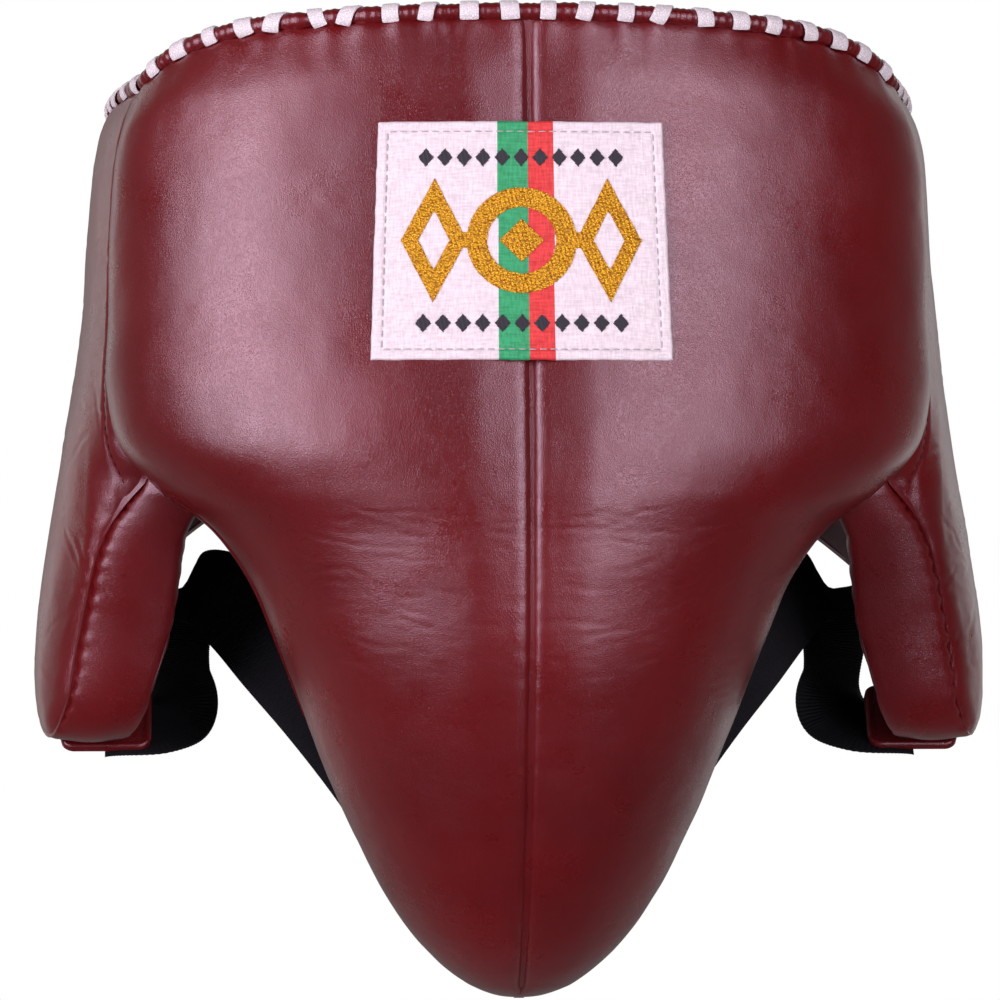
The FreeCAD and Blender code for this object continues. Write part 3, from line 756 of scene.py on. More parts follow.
def strip_grid(outer, inner, centre, crown, tuck, columns=16, wrap=False):
    """A crowned strip of leather between two edges, and the grid of its back."""
    share = np.linspace(0, 1, columns)[None, :, None]
    width = np.linalg.norm(inner - outer, axis=1)[:, None, None]
    calm_outer = calmed(outer, wrap)
    calm_inner = calmed(inner, wrap)
    grid = calm_outer[:, None] * (1 - share) + calm_inner[:, None] * share
    grid = grid + (outer - calm_outer)[:, None] * np.exp(-share * width / EDGE_FADE)
    grid = grid + (inner - calm_inner)[:, None] * np.exp(-(1 - share) * width / EDGE_FADE)
    if wrap:
        ahead = np.roll(calm_outer, -1, axis=0) - np.roll(calm_outer, 1, axis=0)
    else:
        ahead = np.gradient(calm_outer, axis=0)
    outward = unit(np.cross(unit(ahead), unit(calm_inner - calm_outer)))
    if np.sum(outward * (calm_outer - centre)) < 0:
        outward = -outward
    share = share[..., 0]
    width = np.linalg.norm(calm_inner - calm_outer, axis=1)[:, None]
    from_edge = np.minimum(share, 1 - share) * width
    swell = (1 - (2 * share - 1) ** 2) * np.minimum(crown, width * 0.2)
    swell = swell - rounding(from_edge, STRIP_ROUND, tuck) + tuck + 0.25 * lumps(grid, 14, 8)
    keep = np.minimum(1, width / STRIP_NARROW)
    moved = grid + outward[:, None] * (swell * keep)[..., None]
    moved[:, 0] = outer
    moved[:, -1] = inner
    return moved, grid - outward[:, None] * LEATHER * keep[..., None]


def flattened(strip, outer, inner, amount):
    """The strip made flat between its edges, by an amount from 0 to 1 at each of its rows."""
    share = np.linspace(0, 1, strip.shape[1])[None, :, None]
    flat = outer[:, None] + (inner - outer)[:, None] * share
    amount = amount[:, None, None]
    return strip * (1 - amount) + flat * amount


STITCH_RINGS = np.array([[-0.5, -0.6, 0.2], [-0.38, 0.15, 0.8], [0, 0.5, 1], [0.38, 0.15, 0.8],
                         [0.5, -0.6, 0.2]])     # along, height and radius of a stitch's rings, as shares
STITCH_SIDES = 6


def stitch_part(path, lift, pitch=2.6, length=1.7, thick=0.4):
    """Short stitches of thread along a path on a surface. lift are its normals, or one direction."""
    along = walked(path)
    lift = np.broadcast_to(lift, path.shape)
    count = int(along[-1] // pitch)
    parts = []
    round_angle = np.arange(STITCH_SIDES) / STITCH_SIDES * 2 * math.pi
    for number in range(count):
        middle = (number + 0.5) * along[-1] / count
        before, centre, after = [read_at(middle + step, along, path) for step in (-0.5, 0, 0.5)]
        ahead = unit(after - before)
        face = read_at(middle, along, lift)
        face = unit(face - ahead * np.dot(face, ahead))
        side = np.cross(ahead, face)
        centres = centre + ahead * STITCH_RINGS[:, :1] * length + face * STITCH_RINGS[:, 1:2] * thick
        spokes = np.cos(round_angle)[:, None] * side + np.sin(round_angle)[:, None] * face
        rings = centres[:, None] + spokes[None] * (STITCH_RINGS[:, 2:] * thick / 2)[:, None]
        parts.append(tube_part(rings))
    return join(parts)


front_skins = {}
front_normals = {}
for side, sign in SIDES.items():
    skin, back = front_skin(sign)
    front_skins[side] = flipped(skin, sign)
    front_normals[side] = flipped(grid_normals(skin), sign)
    make(f"front_panel_{side}_skin", plate_part(front_skins[side], flipped(back, sign)), LEATHER_SKIN,
         "front", [f"front_panel_{side}"])

# Lining leather against the wearer.
LINING_ROWS = 200
LINING_COLUMNS = 96
LINING_THICK = 1.5
LINING_TUCK = (6, 1.5)        # width and depth of the tuck at its edges
LINING_SEAM_TUCK = (6, 1.2)
LINING_TIP = 34               # below this height the lining is plain
lining_base = front_grid(1, LINING_ROWS, LINING_COLUMNS)
lining_normals = grid_normals(lining_base)
lining_reach = column_reach(lining_base)
lining_edge = lining_reach[:, -1:] - lining_reach
lining_up = lining_base[..., 2]
lining_drop = lining_up[-1:] - lining_up
lining_halves = {}
for side, sign in SIDES.items():
    placed = flipped(lining_base, sign)
    sink = uneven(placed, 21, (0.6, 30), (0.3, 11)) + rounding(lining_reach, *LINING_SEAM_TUCK)
    sink += rounding(lining_edge, *LINING_TUCK) + rounding(lining_drop, *LINING_TUCK)
    moved = lining_base + lining_normals * (sink * smooth((lining_up - LINING_TIP) / 6))[..., None]
    moved[:, 0, 0] = 0
    lining_halves[side] = flipped(moved, sign)
lining = both_halves(lining_halves["left"], lining_halves["right"])
lining_rear = lining_base + lining_normals * LINING_THICK
lining_back = both_halves(flipped(lining_rear, -1), lining_rear)
make("front_lining_skin", plate_part(lining, lining_back), LEATHER_LINING, "front",
     ["front_lining"], sharp=80)

# Gussets along the leg edges and the folds, and the strip that closes the top.
GUSSET_ROWS = 320
FOLD_LOW = 178                # height where the fold starts
for side, sign in SIDES.items():
    outer = rows_of(front_skins[side][:, -1], GUSSET_ROWS)
    inner = rows_of(lining_halves[side][:, -1], GUSSET_ROWS)
    gusset, back = strip_grid(outer, inner, outer - np.array([0, 50, 0]), 2.4, 1.2)
    gusset = flattened(gusset, outer, inner, smooth((outer[:, 2] - FOLD_LOW) / 10))
    make(f"leg_edge_gusset_{side}_skin", plate_part(gusset, back), LEATHER_SKIN, "front",
         [f"leg_edge_gusset_{side}"])

STRIP_COLUMNS = 240
top_outer = both_halves(front_skins["left"][-1:], front_skins["right"][-1:])[0]
top_inner = both_halves(lining_halves["left"][-1:], lining_halves["right"][-1:])[0]
top_outer = rows_of(top_outer, STRIP_COLUMNS)
top_inner = rows_of(top_inner, STRIP_COLUMNS)
top_strip, top_back = strip_grid(top_outer, top_inner, top_outer - np.array([0, 0, 50]), 2.0, 1.0)
make("top_strip_front_skin", plate_part(top_strip, top_back), LEATHER_SKIN, "front",
     ["top_strip_front"])

# ---- padding inside the front ---------------------------------------------------------------------
CORE_ROWS = 100
CORE_COLUMNS = 50
CORE_TRIM = 3                 # rows and columns that a foam layer stays clear of the pad's edges
CORE_THIN = 6                 # rows and columns over which it thins towards its own edges
FOAM_GAP = 0.02               # between foam and leather, as a share of the pad's thickness
CUP_RIM = [(24, 0), (40, 26), (74, 41), (112, 45), (146, 30), (156, 0)]    # above the tip, half width


def core_grid(share):
    half = front_grid(share, CORE_ROWS, CORE_COLUMNS)[CORE_TRIM:-CORE_TRIM, :-CORE_TRIM]
    return both_halves(flipped(half, -1), half)


def foam_core(name, start, end, node, hole=0):
    """A foam layer between two shares of the pad, crowned towards its edges."""
    outer = core_grid(start)
    inner = core_grid(end)
    rows, columns = outer.shape[:2]
    from_side = np.minimum(np.arange(columns), np.arange(columns)[::-1])[None, :] / CORE_THIN
    from_end = np.minimum(np.arange(rows), np.arange(rows)[::-1])[:, None] / CORE_THIN
    pinch = (0.5 * (1 - smooth(np.minimum(from_side, from_end))))[..., None]
    faces = grid_faces(rows, columns)
    if hole:
        middles = outer.reshape(-1, 3)[faces].mean(axis=1)
        heights, widths = zip(*CUP_RIM)
        rim = np.interp(middles[:, 2], heights, widths, left=-1, right=-1)
        faces = faces[np.abs(middles[:, 0]) > rim + hole]
    part = plate_part(outer + (inner - outer) * pinch, inner + (outer - inner) * pinch, faces)
    piece = make(name, part, FOAM, "front", [node])


foam_core("front_foam_outer_core", SKIN + FOAM_GAP, 0.40, "front_foam_outer")
foam_core("cup_surround_core", 0.43, 0.52, "cup_surround_foam", hole=4)
foam_core("front_foam_inner_core", 0.56, LINING - FOAM_GAP, "front_foam_inner")
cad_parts["hard_cup"].data.materials.clear()
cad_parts["hard_cup"].data.materials.append(CUP)

# ---- wings ----------------------------------------------------------------------------------------
WING_ROWS = 170
WING_COLUMNS = 170
wing_heights, wing_halves, wing_bulges = zip(*WING_SECTIONS)


def wing_x(behind, up, depth):
    """How far out the right wing's surface is, at a depth square to it in the pad."""
    half = through(wing_heights, wing_halves, up)
    bulge = through(wing_heights, wing_bulges, up)
    front_half = np.interp(np.maximum(up, WING_EDGE[0][1]), dense_up, dense_half)
    step = (front_half - half) * smooth((up - 120) / 58)
    start = behind
    for _ in range(16):
        along = np.clip((start - REAR_CENTRE) / REAR_REACH, 0, 0.985)
        rear = np.sqrt(1 - along ** 2)
        early = np.clip(start / REAR_CENTRE, 0, 1) * math.pi / 2
        rise = np.where(start < REAR_CENTRE, bulge * np.cos(early) * math.pi / 2 / REAR_CENTRE,
                        -(half + bulge) * along / rear / REAR_REACH)
        rise = rise * smooth(start / 15)
        long = np.sqrt(1 + rise ** 2)
        start = behind - depth * rise / long
    outside = np.where(start < REAR_CENTRE, half + bulge * np.sin(early), (half + bulge) * rear)
    return outside + step * np.clip(1 - start / 16, 0, 1) ** 2 - depth / long


WING_MIDDLE = (80, 215)        # behind the fold plane, above the tip
CORE_SHRINK = 0.9             # the wings' foam layers stay clear of their gussets
CORE_GRID = 60
WING_FOAM = {"outer": (2.4, 12.2), "inner": (13.6, 24.2)}      # depths in the wing's pad
edge_points = np.array(WING_EDGE, float)
edge_reach = walked(edge_points)


def wing_grid(depth, rows=WING_ROWS, columns=WING_COLUMNS, shrink=1):
    """The right wing at a depth in its pad: rows from its lower edge up, columns from the fold back."""
    share = np.linspace(0, 1, columns)
    low_behind, low_up = curve(edge_reach, edge_points, share * edge_reach[-1]).T
    high_behind = FOLD_GAP + share * (WING_REACH - FOLD_GAP)
    high_up = WING_FOLD_HIGH - (WING_FOLD_HIGH - WING_REAR_HIGH) * high_behind / WING_REACH
    rise = np.linspace(0, 1, rows)[:, None]
    behind = low_behind + (high_behind - low_behind) * rise
    up = low_up + (high_up - low_up) * rise
    from_corner = np.minimum(rise, 1 - rise) * (high_up[-1] - low_up[-1])
    behind = behind - rounding(from_corner, 12, 6) * share ** 6
    behind = WING_MIDDLE[0] + (behind - WING_MIDDLE[0]) * shrink
    up = WING_MIDDLE[1] + (up - WING_MIDDLE[1]) * shrink
    return np.stack([wing_x(behind, up, depth), behind, up], axis=-1)


def rim_of(grid):
    """The points round a grid's border: its first row, last column, last row and first column."""
    return np.concatenate([grid[0, :-1], grid[:-1, -1], grid[-1, :0:-1], grid[:0:-1, 0]])


LOBE_TUCK = (9, 3.4)          # width and depth of the tucks along the lower edge and the rear
REAR_TUCK = (6, 2)
FOLD_STITCH = 5.0             # a row of stitches this far behind each fold, in a shallow groove


def wing_skin(sign):
    """The outer surface of one wing, with its tucks, creases and unevenness."""
    base = wing_grid(0)
    normals = grid_normals(base)
    placed = flipped(base, sign)
    up = base[..., 2]
    lower = distance_to(base, resample(base[0], 220))
    upper = distance_to(base, resample(base[-1], 120))
    rear = distance_to(base, resample(base[:, -1], 80))
    fold = base[..., 1]
    lift = 1.4 * smooth(lower / 24) * smooth(upper / 22) * smooth(fold / 24) * smooth(rear / 20)
    lift -= rounding(lower, *LOBE_TUCK) * smooth(fold / 3 + 0.3)
    lift -= rounding(upper, *TOP_TUCK) + rounding(rear, *REAR_TUCK) + rounding(fold, *FOLD_TUCK)
    lift -= 0.55 * bell(fold, 0.9, FOLD_STITCH)
    lift += uneven(placed, 31, (0.7, 38), (0.25, 15), (0.08, 6))
    lift += 0.18 * ripple(up, 1.4, placed, 3, 12, 34) * np.exp(-fold / 6)
    lift += PUCKER * ripple(up + fold, 1.7, placed, 3, 14, 35) * (np.exp(-lower / 5) + np.exp(-upper / 7))
    random = np.random.default_rng(40 + sign)
    folds = [(random.uniform(6, 60), random.uniform(110, 290), random.normal(0.2, 0.5),
              random.uniform(8, 26), random.uniform(0.8, 1.3), random.uniform(0.06, 0.2))
             for _ in range(60)]
    lift -= crease_depth(fold, up, folds)
    return base + normals * lift[..., None], base - normals * LEATHER


wing_skins = {}
for side, sign in SIDES.items():
    skin, back = wing_skin(sign)
    wing_skins[side] = flipped(skin, sign)
    lining = wing_grid(SIDE_THICK)
    inward = grid_normals(lining)
    lining_rim = np.minimum(distance_to(lining, resample(lining[0], 160)),
                            distance_to(lining, resample(lining[-1], 90)))
    soft = 0.5 * lumps(lining, 26, 36) + rounding(lining_rim, *LINING_TUCK)
    lining_front = lining + inward * soft[..., None]
    lining_rear = lining + inward * LINING_THICK
    make_wing_piece(f"wing_panel_{side}_skin", plate_part(wing_skins[side], flipped(back, sign)),
                    LEATHER_SKIN, [f"wing_panel_{side}"])
    make_wing_piece(f"wing_lining_{side}_skin",
                    plate_part(flipped(lining_front, sign), flipped(lining_rear, sign)),
                    LEATHER_LINING, [f"wing_lining_{side}"], sharp=80)
    outer = rim_of(skin)
    inner = rim_of(lining_front)
    middle = np.array([outer[:, 0].mean(), *WING_MIDDLE])
    gusset, gusset_back = strip_grid(outer, inner, middle, 2.6, 1.2, wrap=True)
    gusset = flattened(gusset, outer, inner, smooth((4 - outer[:, 1]) / 3))
    faces = grid_faces(*gusset.shape[:2], wrap_rows=True)
    make_wing_piece(f"wing_gusset_{side}_skin",
                    plate_part(flipped(gusset, sign), flipped(gusset_back, sign), faces),
                    LEATHER_SKIN, [f"wing_gusset_{side}"])
    for layer, depths in WING_FOAM.items():
        outer, inner = [flipped(wing_grid(depth, CORE_GRID, CORE_GRID, CORE_SHRINK), sign)
                        for depth in depths]
        core = make_wing_piece(f"wing_foam_{layer}_{side}_core", plate_part(outer, inner), FOAM,
                               [f"wing_foam_{layer}_{side}"])

# ---- rolled binding and lace along the top edges ---------------------------------------------------
ROLL_RADIUS = 3.0
ROLL_DEEP = 1.9               # how far the roll's middle lies inside the pad's outer face
ROLL_UP = 1.9                 # and above the edge
LACE_WIDE = 5.8
LACE_THICK = 1.0
LACE_MARGIN = 7
ROLL_SIDES = 18
ROLL_STEP = 0.7               # length of a step along the roll
LACE_STEPS = 26               # rings to each turn of lace
LACE_LEAN = 3.2
LACE_SINK = 0.86              # the roll's radius under the lace, as a share of its own


def roll_axis(edge, count):
    """The middle line of a binding roll along an edge, and the ways across and up at each point."""
    path = resample(edge, count)
    ahead = unit(np.gradient(path, axis=0))
    outward = unit(np.cross(ahead, np.array([0.0, 0.0, 1.0])))
    upward = unit(np.cross(outward, ahead))
    return path - outward * ROLL_DEEP + upward * ROLL_UP, outward, upward


def lace_places(length):
    """Distances along an edge where the lace goes over it."""
    count = int((length - 2 * LACE_MARGIN) // LACE_PITCH)
    return np.linspace(LACE_MARGIN, length - LACE_MARGIN, count + 1)


def roll_part(edge, seed):
    """A roll of leather along an edge, pinched where the lace goes over it."""
    reach = walked(edge)[-1]
    path, outward, upward = roll_axis(edge, int(reach / ROLL_STEP))
    along = walked(path)
    turn = np.arange(ROLL_SIDES) / ROLL_SIDES * 2 * math.pi
    nearest = np.min(np.abs(along[:, None] - lace_places(along[-1])[None]), axis=1)
    pinch = 0.24 + 0.10 * lumps(path, 11, seed + 2)
    radius = ROLL_RADIUS * (1 - pinch * bell(nearest, 2.8))
    from_end = np.minimum(along, along[-1] - along)
    radius = radius * (1 + 0.09 * lumps(path, 9, seed)) * smooth(from_end / 3 + 0.5)
    wrinkle = 0.14 * np.sin(along * 2.2 + 4 * lumps(path, 7, seed + 1))
    ring = np.stack([np.cos(turn), np.sin(turn)], axis=-1)[None] * (radius + wrinkle)[:, None, None]
    return sweep_part(path, outward, upward, ring)


def flat_outline(wide, thick, columns):
    """The outline of a flat ribbon with rounded sides."""
    place = np.linspace(-1, 1, columns)
    half = thick / 2 * np.sqrt(1 - np.abs(place) ** 8 * 0.75)
    top = np.stack([place * wide / 2, half], axis=-1)
    return np.concatenate([top, (top * np.array([1, -1]))[::-1]])


def lace_part(edge, seed):
    """Turns of flat lace over a binding roll, each leaning its own way."""
    random = np.random.default_rng(seed)
    reach = walked(edge)[-1]
    path, outward, upward = roll_axis(edge, int(reach / ROLL_STEP))
    along = walked(path)
    turn = np.linspace(math.radians(-50), math.radians(205), LACE_STEPS)
    share = np.linspace(-0.5, 0.5, LACE_STEPS)
    radius = ROLL_RADIUS * LACE_SINK + LACE_THICK * 0.62
    parts = []
    for place in lace_places(along[-1]):
        lean = random.uniform(-LACE_LEAN, LACE_LEAN)
        width = LACE_WIDE * random.uniform(0.85, 1.12)
        where = np.clip(place + lean * share * 2, 0, along[-1])
        out = read_at(where, along, outward)
        top = read_at(where, along, upward)
        spoke = out * np.cos(turn)[:, None] + top * np.sin(turn)[:, None]
        line_points = read_at(where, along, path) + spoke * radius
        ahead = unit(np.gradient(line_points, axis=0))
        side = unit(np.cross(ahead, spoke))
        parts.append(sweep_part(line_points, side, spoke, flat_outline(width, LACE_THICK, 9)[None]))
    return join(parts)


smooth_base = front_grid(0, 60, 120)
front_crest = both_halves(flipped(smooth_base[-1:], -1), smooth_base[-1:])[0]
make("top_binding_front_roll", roll_part(front_crest, 51), LEATHER_SKIN, "front",
     ["top_binding_front"])
make("front_lacing_turns", lace_part(front_crest, 52), LACE, "front", ["front_lacing"])
for side, sign in SIDES.items():
    wing_crest = flipped(wing_grid(0, 30, 160)[-1], sign)
    if side == "left":
        wing_crest = wing_crest[::-1]
    make_wing_piece(f"top_binding_{side}_roll", roll_part(wing_crest, 53 + sign), LEATHER_SKIN,
                    [f"top_binding_{side}"])
    make_wing_piece(f"wing_lacing_{side}_turns", lace_part(wing_crest, 56 + sign), LACE,
                    [f"wing_lacing_{side}"])

# ---- leather tabs and patches ---------------------------------------------------------------------
SLAB_INSET = 3                # from the border of a tab or patch to its row of stitches


def slab_part(long, wide, thick, corner, place, rows=44, columns=34):
    """A flat piece with rounded corners and edges. place moves (along, across, above) to the object."""
    along = np.linspace(0, long, rows)[:, None] * np.ones(columns)
    from_end = np.minimum(along, long - along)
    narrow = rounding(from_end, corner, corner)
    across = (np.linspace(-0.5, 0.5, columns)[None] * (wide - 2 * narrow)) + wide / 2
    from_side = (0.5 - np.abs(np.linspace(-0.5, 0.5, columns)[None])) * (wide - 2 * narrow)
    near = np.minimum(from_end, from_side)
    above = thick - rounding(near, 1.4, thick * 0.45) - 0.28 * bell(near, 0.7, SLAB_INSET)
    flat = np.stack([along, across, 0 * along], axis=-1)
    above = above + 0.12 * lumps(flat, 9, 61)
    return plate_part(place(along, across, above), place(along, across, 0 * above))


def border_stitches(low, high, surface, sunk, steps, *stitch):
    """Stitches round a rectangle. surface gives the point at a place on it and a height over it."""
    corners = np.array([low, (high[0], low[1]), high, (low[0], high[1]), low], float)
    parts = []
    for start, end in zip(corners, corners[1:]):
        first, second = (start + (end - start) * np.linspace(0, 1, steps)[:, None]).T
        path = surface(first, second, -sunk)
        parts.append(stitch_part(path, unit(surface(first, second, 1) - path), *stitch))
    return join(parts)


def slab_stitches(long, wide, thick, inset, place):
    """A row of stitches round a slab, an inset in from its border."""
    def surface(along, across, above):
        return place(along, across, along * 0 + thick + above)
    return border_stitches((inset, inset), (long - inset, wide - inset), surface, 0.2, 30)


def flat_place(origin, along, across, above):
    """A way to place a slab: its corner, and the ways along, across and above it."""
    directions = [np.array(way, float) for way in (along, across, above)]

    def place(first, second, third):
        point = np.array(origin, float) + first[..., None] * directions[0]
        return point + second[..., None] * directions[1] + third[..., None] * directions[2]
    return place


def mirrored_place(place, sign):
    def moved(first, second, third):
        return flipped(place(first, second, third), sign)
    return moved


def stitched_leather(node, size, corner, place, body, rows=44, columns=34):
    """A leather tab or patch in place of a node, with a row of stitches round it."""
    make(f"{node}_leather", slab_part(*size, corner, place, rows, columns), LEATHER_SKIN, body,
         [node])
    make(f"{node}_stitches", slab_stitches(*size, SLAB_INSET, place), THREAD_DARK, body)


TAB_SIZE = (32, 27, 2.6)      # along, across and thick
BELT_TAB_SIZE = (100, 16, 2.6)
PATCH_SIZE = (52, 26, 2.4)
TAB_SLOPE = math.radians(52)
tab_place = flat_place((127, 47.4, 82.5), (1, 0, 0), (0, math.cos(TAB_SLOPE), math.sin(TAB_SLOPE)),
                       (0, -math.sin(TAB_SLOPE), math.cos(TAB_SLOPE)))
belt_tab_place = flat_place((74.3, WING_REACH + 0.1, 195), (0, 0, 1), (1, 0, 0), (0, 1, 0))
patch_place = flat_place((-PATCH_SIZE[0] / 2, 12.7, 10), (1, 0, 0), (0, 0, 1), (0, 1, 0))
for side, sign in SIDES.items():
    body = f"wing_{side}"
    stitched_leather(f"strap_tab_{side}", TAB_SIZE, 5, mirrored_place(tab_place, sign), body)
    stitched_leather(f"belt_tab_{side}", BELT_TAB_SIZE, 3, mirrored_place(belt_tab_place, sign), body,
                     rows=90, columns=24)
stitched_leather("crotch_patch", PATCH_SIZE, 6, patch_place, "front")

# ---- elastic straps and belt ----------------------------------------------------------------------
RIB_PITCH = 0.95
RIB_STEPS = 4                 # rings to each rib

# Middle line of the right leg strap and the way its width points, from the crotch to the wing's tab.
STRAP_ROUTE = [
    ((14, 11, 20), (-0.77, 0, 0.63)), ((25, 11.4, 38), (-0.77, 0, 0.63)),
    ((38, 15, 58), (-0.77, 0, 0.63)), ((52, 25, 78), (-0.77, 0.05, 0.63)),
    ((68, 38, 98), (-0.76, 0.1, 0.64)), ((83, 50, 115), (-0.75, 0.1, 0.65)),
    ((96, 62, 130), (-0.74, 0.1, 0.66)), ((108, 74, 140), (-0.70, 0, 0.71)),
    ((116, 81, 139), (-0.72, -0.1, 0.60)), ((119, 84, 124), (-0.78, -0.45, 0.30)),
    ((118, 80, 106), (-0.72, -0.60, 0.27)), ((120, 69, 94), (-0.85, -0.24, -0.33)),
    ((128, 59.5, 90), (-0.45, -0.70, -0.50)), ((143, 56.5, 92.5), (0, -0.616, -0.788)),
]
STRAP_WIDE = 30
STRAP_THICK = 1.7


def ribbed_part(path, side, face, wide, thick, columns=14, bands=0):
    """An elastic ribbon with fine ribs across it. path has even steps of a quarter of a rib."""
    along = walked(path)
    outline = flat_outline(wide, thick, columns)
    rib = 1 + 0.22 * np.cos(along / RIB_PITCH * 2 * math.pi)
    edge = np.abs(outline[:, 0]) / (wide / 2)
    swell = rib[:, None] + 0.18 * smooth((edge - 0.9) / 0.06)[None]
    if bands:
        swell = swell + 0.16 * np.cos(outline[:, 0] / wide * 2 * math.pi * bands)[None]
    rings = np.broadcast_to(outline, (len(path),) + outline.shape).copy()
    rings[..., 1] *= swell
    return sweep_part(path, side, face, rings)


def along_route(route):
    """A smooth path through a strap's route with even steps, and the ways across and facing."""
    points = np.array([point for point, _ in route], float)
    ways = np.array([way for _, way in route], float)
    knots = walked(points)
    fine = np.linspace(0, knots[-1], 800)
    path = curve(knots, points, fine)
    sides = curve(knots, ways, fine)
    reach = walked(path)
    wanted = np.arange(0, reach[-1], RIB_PITCH / RIB_STEPS)
    path = read_at(wanted, reach, path)
    sides = read_at(wanted, reach, sides)
    ahead = unit(np.gradient(path, axis=0))
    sides = unit(sides - ahead * np.sum(sides * ahead, axis=1)[:, None])
    return path, sides, np.cross(ahead, sides)


for side, sign in SIDES.items():
    path, across, face = along_route(STRAP_ROUTE)
    strap = make(f"leg_strap_{side}_elastic",
                 ribbed_part(flipped(path, sign), flipped(across, sign), flipped(face, sign),
                             STRAP_WIDE, STRAP_THICK), ELASTIC, None, [f"leg_strap_{side}"])
    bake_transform(strap)

BELT_RADIUS = 193.6
BELT_CENTRE = -88.6 - FOLD_Y / MM     # behind the fold plane
BELT_START = 67.7             # degrees round from +X
BELT_SWEEP = 19.8
BELT_LOW = 195
BELT_TALL = 100
BELT_THICK = 2


def ring_place(radius, start, low, sign, outward=1):
    """A way to place a slab on the belt's ring: along it, up it, and out from it."""
    def place(along, across, above):
        angle = math.radians(start) + along / radius
        out = radius + above * outward
        point = np.stack([out * np.cos(angle), BELT_CENTRE + out * np.sin(angle), low + across], axis=-1)
        return flipped(point, sign)
    return place


def belt_part(sign):
    middle = BELT_RADIUS - BELT_THICK / 2
    length = math.radians(BELT_SWEEP) * middle
    reach = np.arange(0, length, RIB_PITCH / RIB_STEPS)
    angle = math.radians(BELT_START) + reach / middle
    path = np.stack([middle * np.cos(angle), BELT_CENTRE + middle * np.sin(angle),
                     0 * angle + BELT_LOW + BELT_TALL / 2], axis=-1)
    face = np.stack([np.cos(angle), np.sin(angle), 0 * angle], axis=-1)
    side = np.broadcast_to([0.0, 0.0, 1.0], path.shape)
    return ribbed_part(flipped(path, sign), side, flipped(face, sign), BELT_TALL, BELT_THICK, 60, 6)


FASTENER_LOW = BELT_LOW + 6
FASTENER_TALL = 88
FASTENER_THICK = 1.5
TAPE_START = 73               # degrees round from +X, and the degrees that the tape takes
TAPE_SWEEP = 14
END_TAB_START = 84.2
END_TAB_SWEEP = 3.2
inner_radius = BELT_RADIUS - BELT_THICK
fasteners = {"right": ("hook_patch", BELT_RADIUS, 1, "belt_end_tab_right", inner_radius, -1),
             "left": ("loop_patch", inner_radius, -1, "belt_end_tab_left", BELT_RADIUS, 1)}
for side, sign in SIDES.items():
    body = f"belt_{side}"
    make(f"belt_elastic_{side}_web", belt_part(sign), ELASTIC, body, [f"belt_elastic_{side}"])
    patch, patch_radius, patch_way, tab, tab_radius, tab_way = fasteners[side]
    place = ring_place(patch_radius, TAPE_START, FASTENER_LOW, sign, patch_way)
    size = (math.radians(TAPE_SWEEP) * patch_radius, FASTENER_TALL, FASTENER_THICK)
    make(f"{patch}_tape", slab_part(*size, 4, place, 60, 90), HOOKS, body, [patch])
    make(f"{patch}_stitches", slab_stitches(*size, 2.5, place), THREAD_NAVY, body)
    place = ring_place(tab_radius, END_TAB_START, FASTENER_LOW, sign, tab_way)
    size = (math.radians(END_TAB_SWEEP) * tab_radius, FASTENER_TALL, FASTENER_THICK)
    make(f"{tab}_leather", slab_part(*size, 2, place, 16, 80), LEATHER_SKIN, body, [tab])

# ---- woven label ----------------------------------------------------------------------------------
LABEL_X = -3
LABEL_UP = 256
LABEL_WIDE = 94
LABEL_TALL = 79
LABEL_LIFT = 1.9              # how far the cloth's back stands off the pad's plain surface
LABEL_THICK = 0.7
LABEL_COLUMNS = 236
LABEL_ROWS = 194
HEM = 3.4                     # width of the turned-in border
SEAM_UNDER = 3                # where the centre seam runs under the label, counted from its middle
STRIPES = ((-7.8, 2.2, CLOTH_GREEN), (2.2, 10.7, CLOTH_RED))


def label_place(across, above, out):
    """The point over the pad at a place on the label, counted from its middle, and a height over it."""
    up = LABEL_UP + above
    x = LABEL_X + across * (1.02 - 0.0007 * above)
    points = []
    for step_x, step_up in ((0, 0), (0.5, 0), (0, 0.5)):
        half = np.interp(up + step_up, dense_up, dense_half)
        bulge = np.interp(up + step_up, dense_up, dense_bulge)
        share = (x + step_x) / half
        points.append(np.stack([x + step_x, -bulge * np.sqrt(1 - share ** 2), up + step_up], axis=-1))
    normal = unit(np.cross(points[1] - points[0], points[2] - points[0]))
    return points[0] + normal * out[..., None]


across = np.linspace(-LABEL_WIDE / 2, LABEL_WIDE / 2, LABEL_COLUMNS)[None] * np.ones((LABEL_ROWS, 1))
above = np.linspace(-LABEL_TALL / 2, LABEL_TALL / 2, LABEL_ROWS)[:, None] * np.ones((1, LABEL_COLUMNS))
from_border = np.minimum(LABEL_WIDE / 2 - np.abs(across), LABEL_TALL / 2 - np.abs(above))
flat = np.stack([across, 0 * across, above], axis=-1)
seam_sink = 0.35 * bell(across, 3, SEAM_UNDER)
base_lift = LABEL_LIFT + uneven(flat, 71, (0.35, 22), (0.1, 7)) - seam_sink
cloth = base_lift + LABEL_THICK + 0.35 * smooth((HEM - from_border) / 0.6)
cloth -= rounding(from_border, 0.9, 0.7) + 0.3 * bell(from_border, 0.45, HEM)
ruffle = 0.3 * lumps(flat, 3.2, 73) * np.exp(-from_border / 1.2)
label_across = across * (1 + ruffle / 90)
label_above = above * (1 + ruffle / 80)
label = make("label_patch_cloth", plate_part(label_place(label_across, label_above, cloth),
                                             label_place(label_across, label_above, base_lift - 0.4)),
             CLOTH_WHITE, "front", ["label_patch"], sharp=70)
for _, _, dye in STRIPES:
    label.data.materials.append(dye)
for polygon in label.data.polygons:
    place = polygon.center.x / MM - LABEL_X
    for number, (low, high, _) in enumerate(STRIPES, start=1):
        if low <= place < high:
            polygon.material_index = number


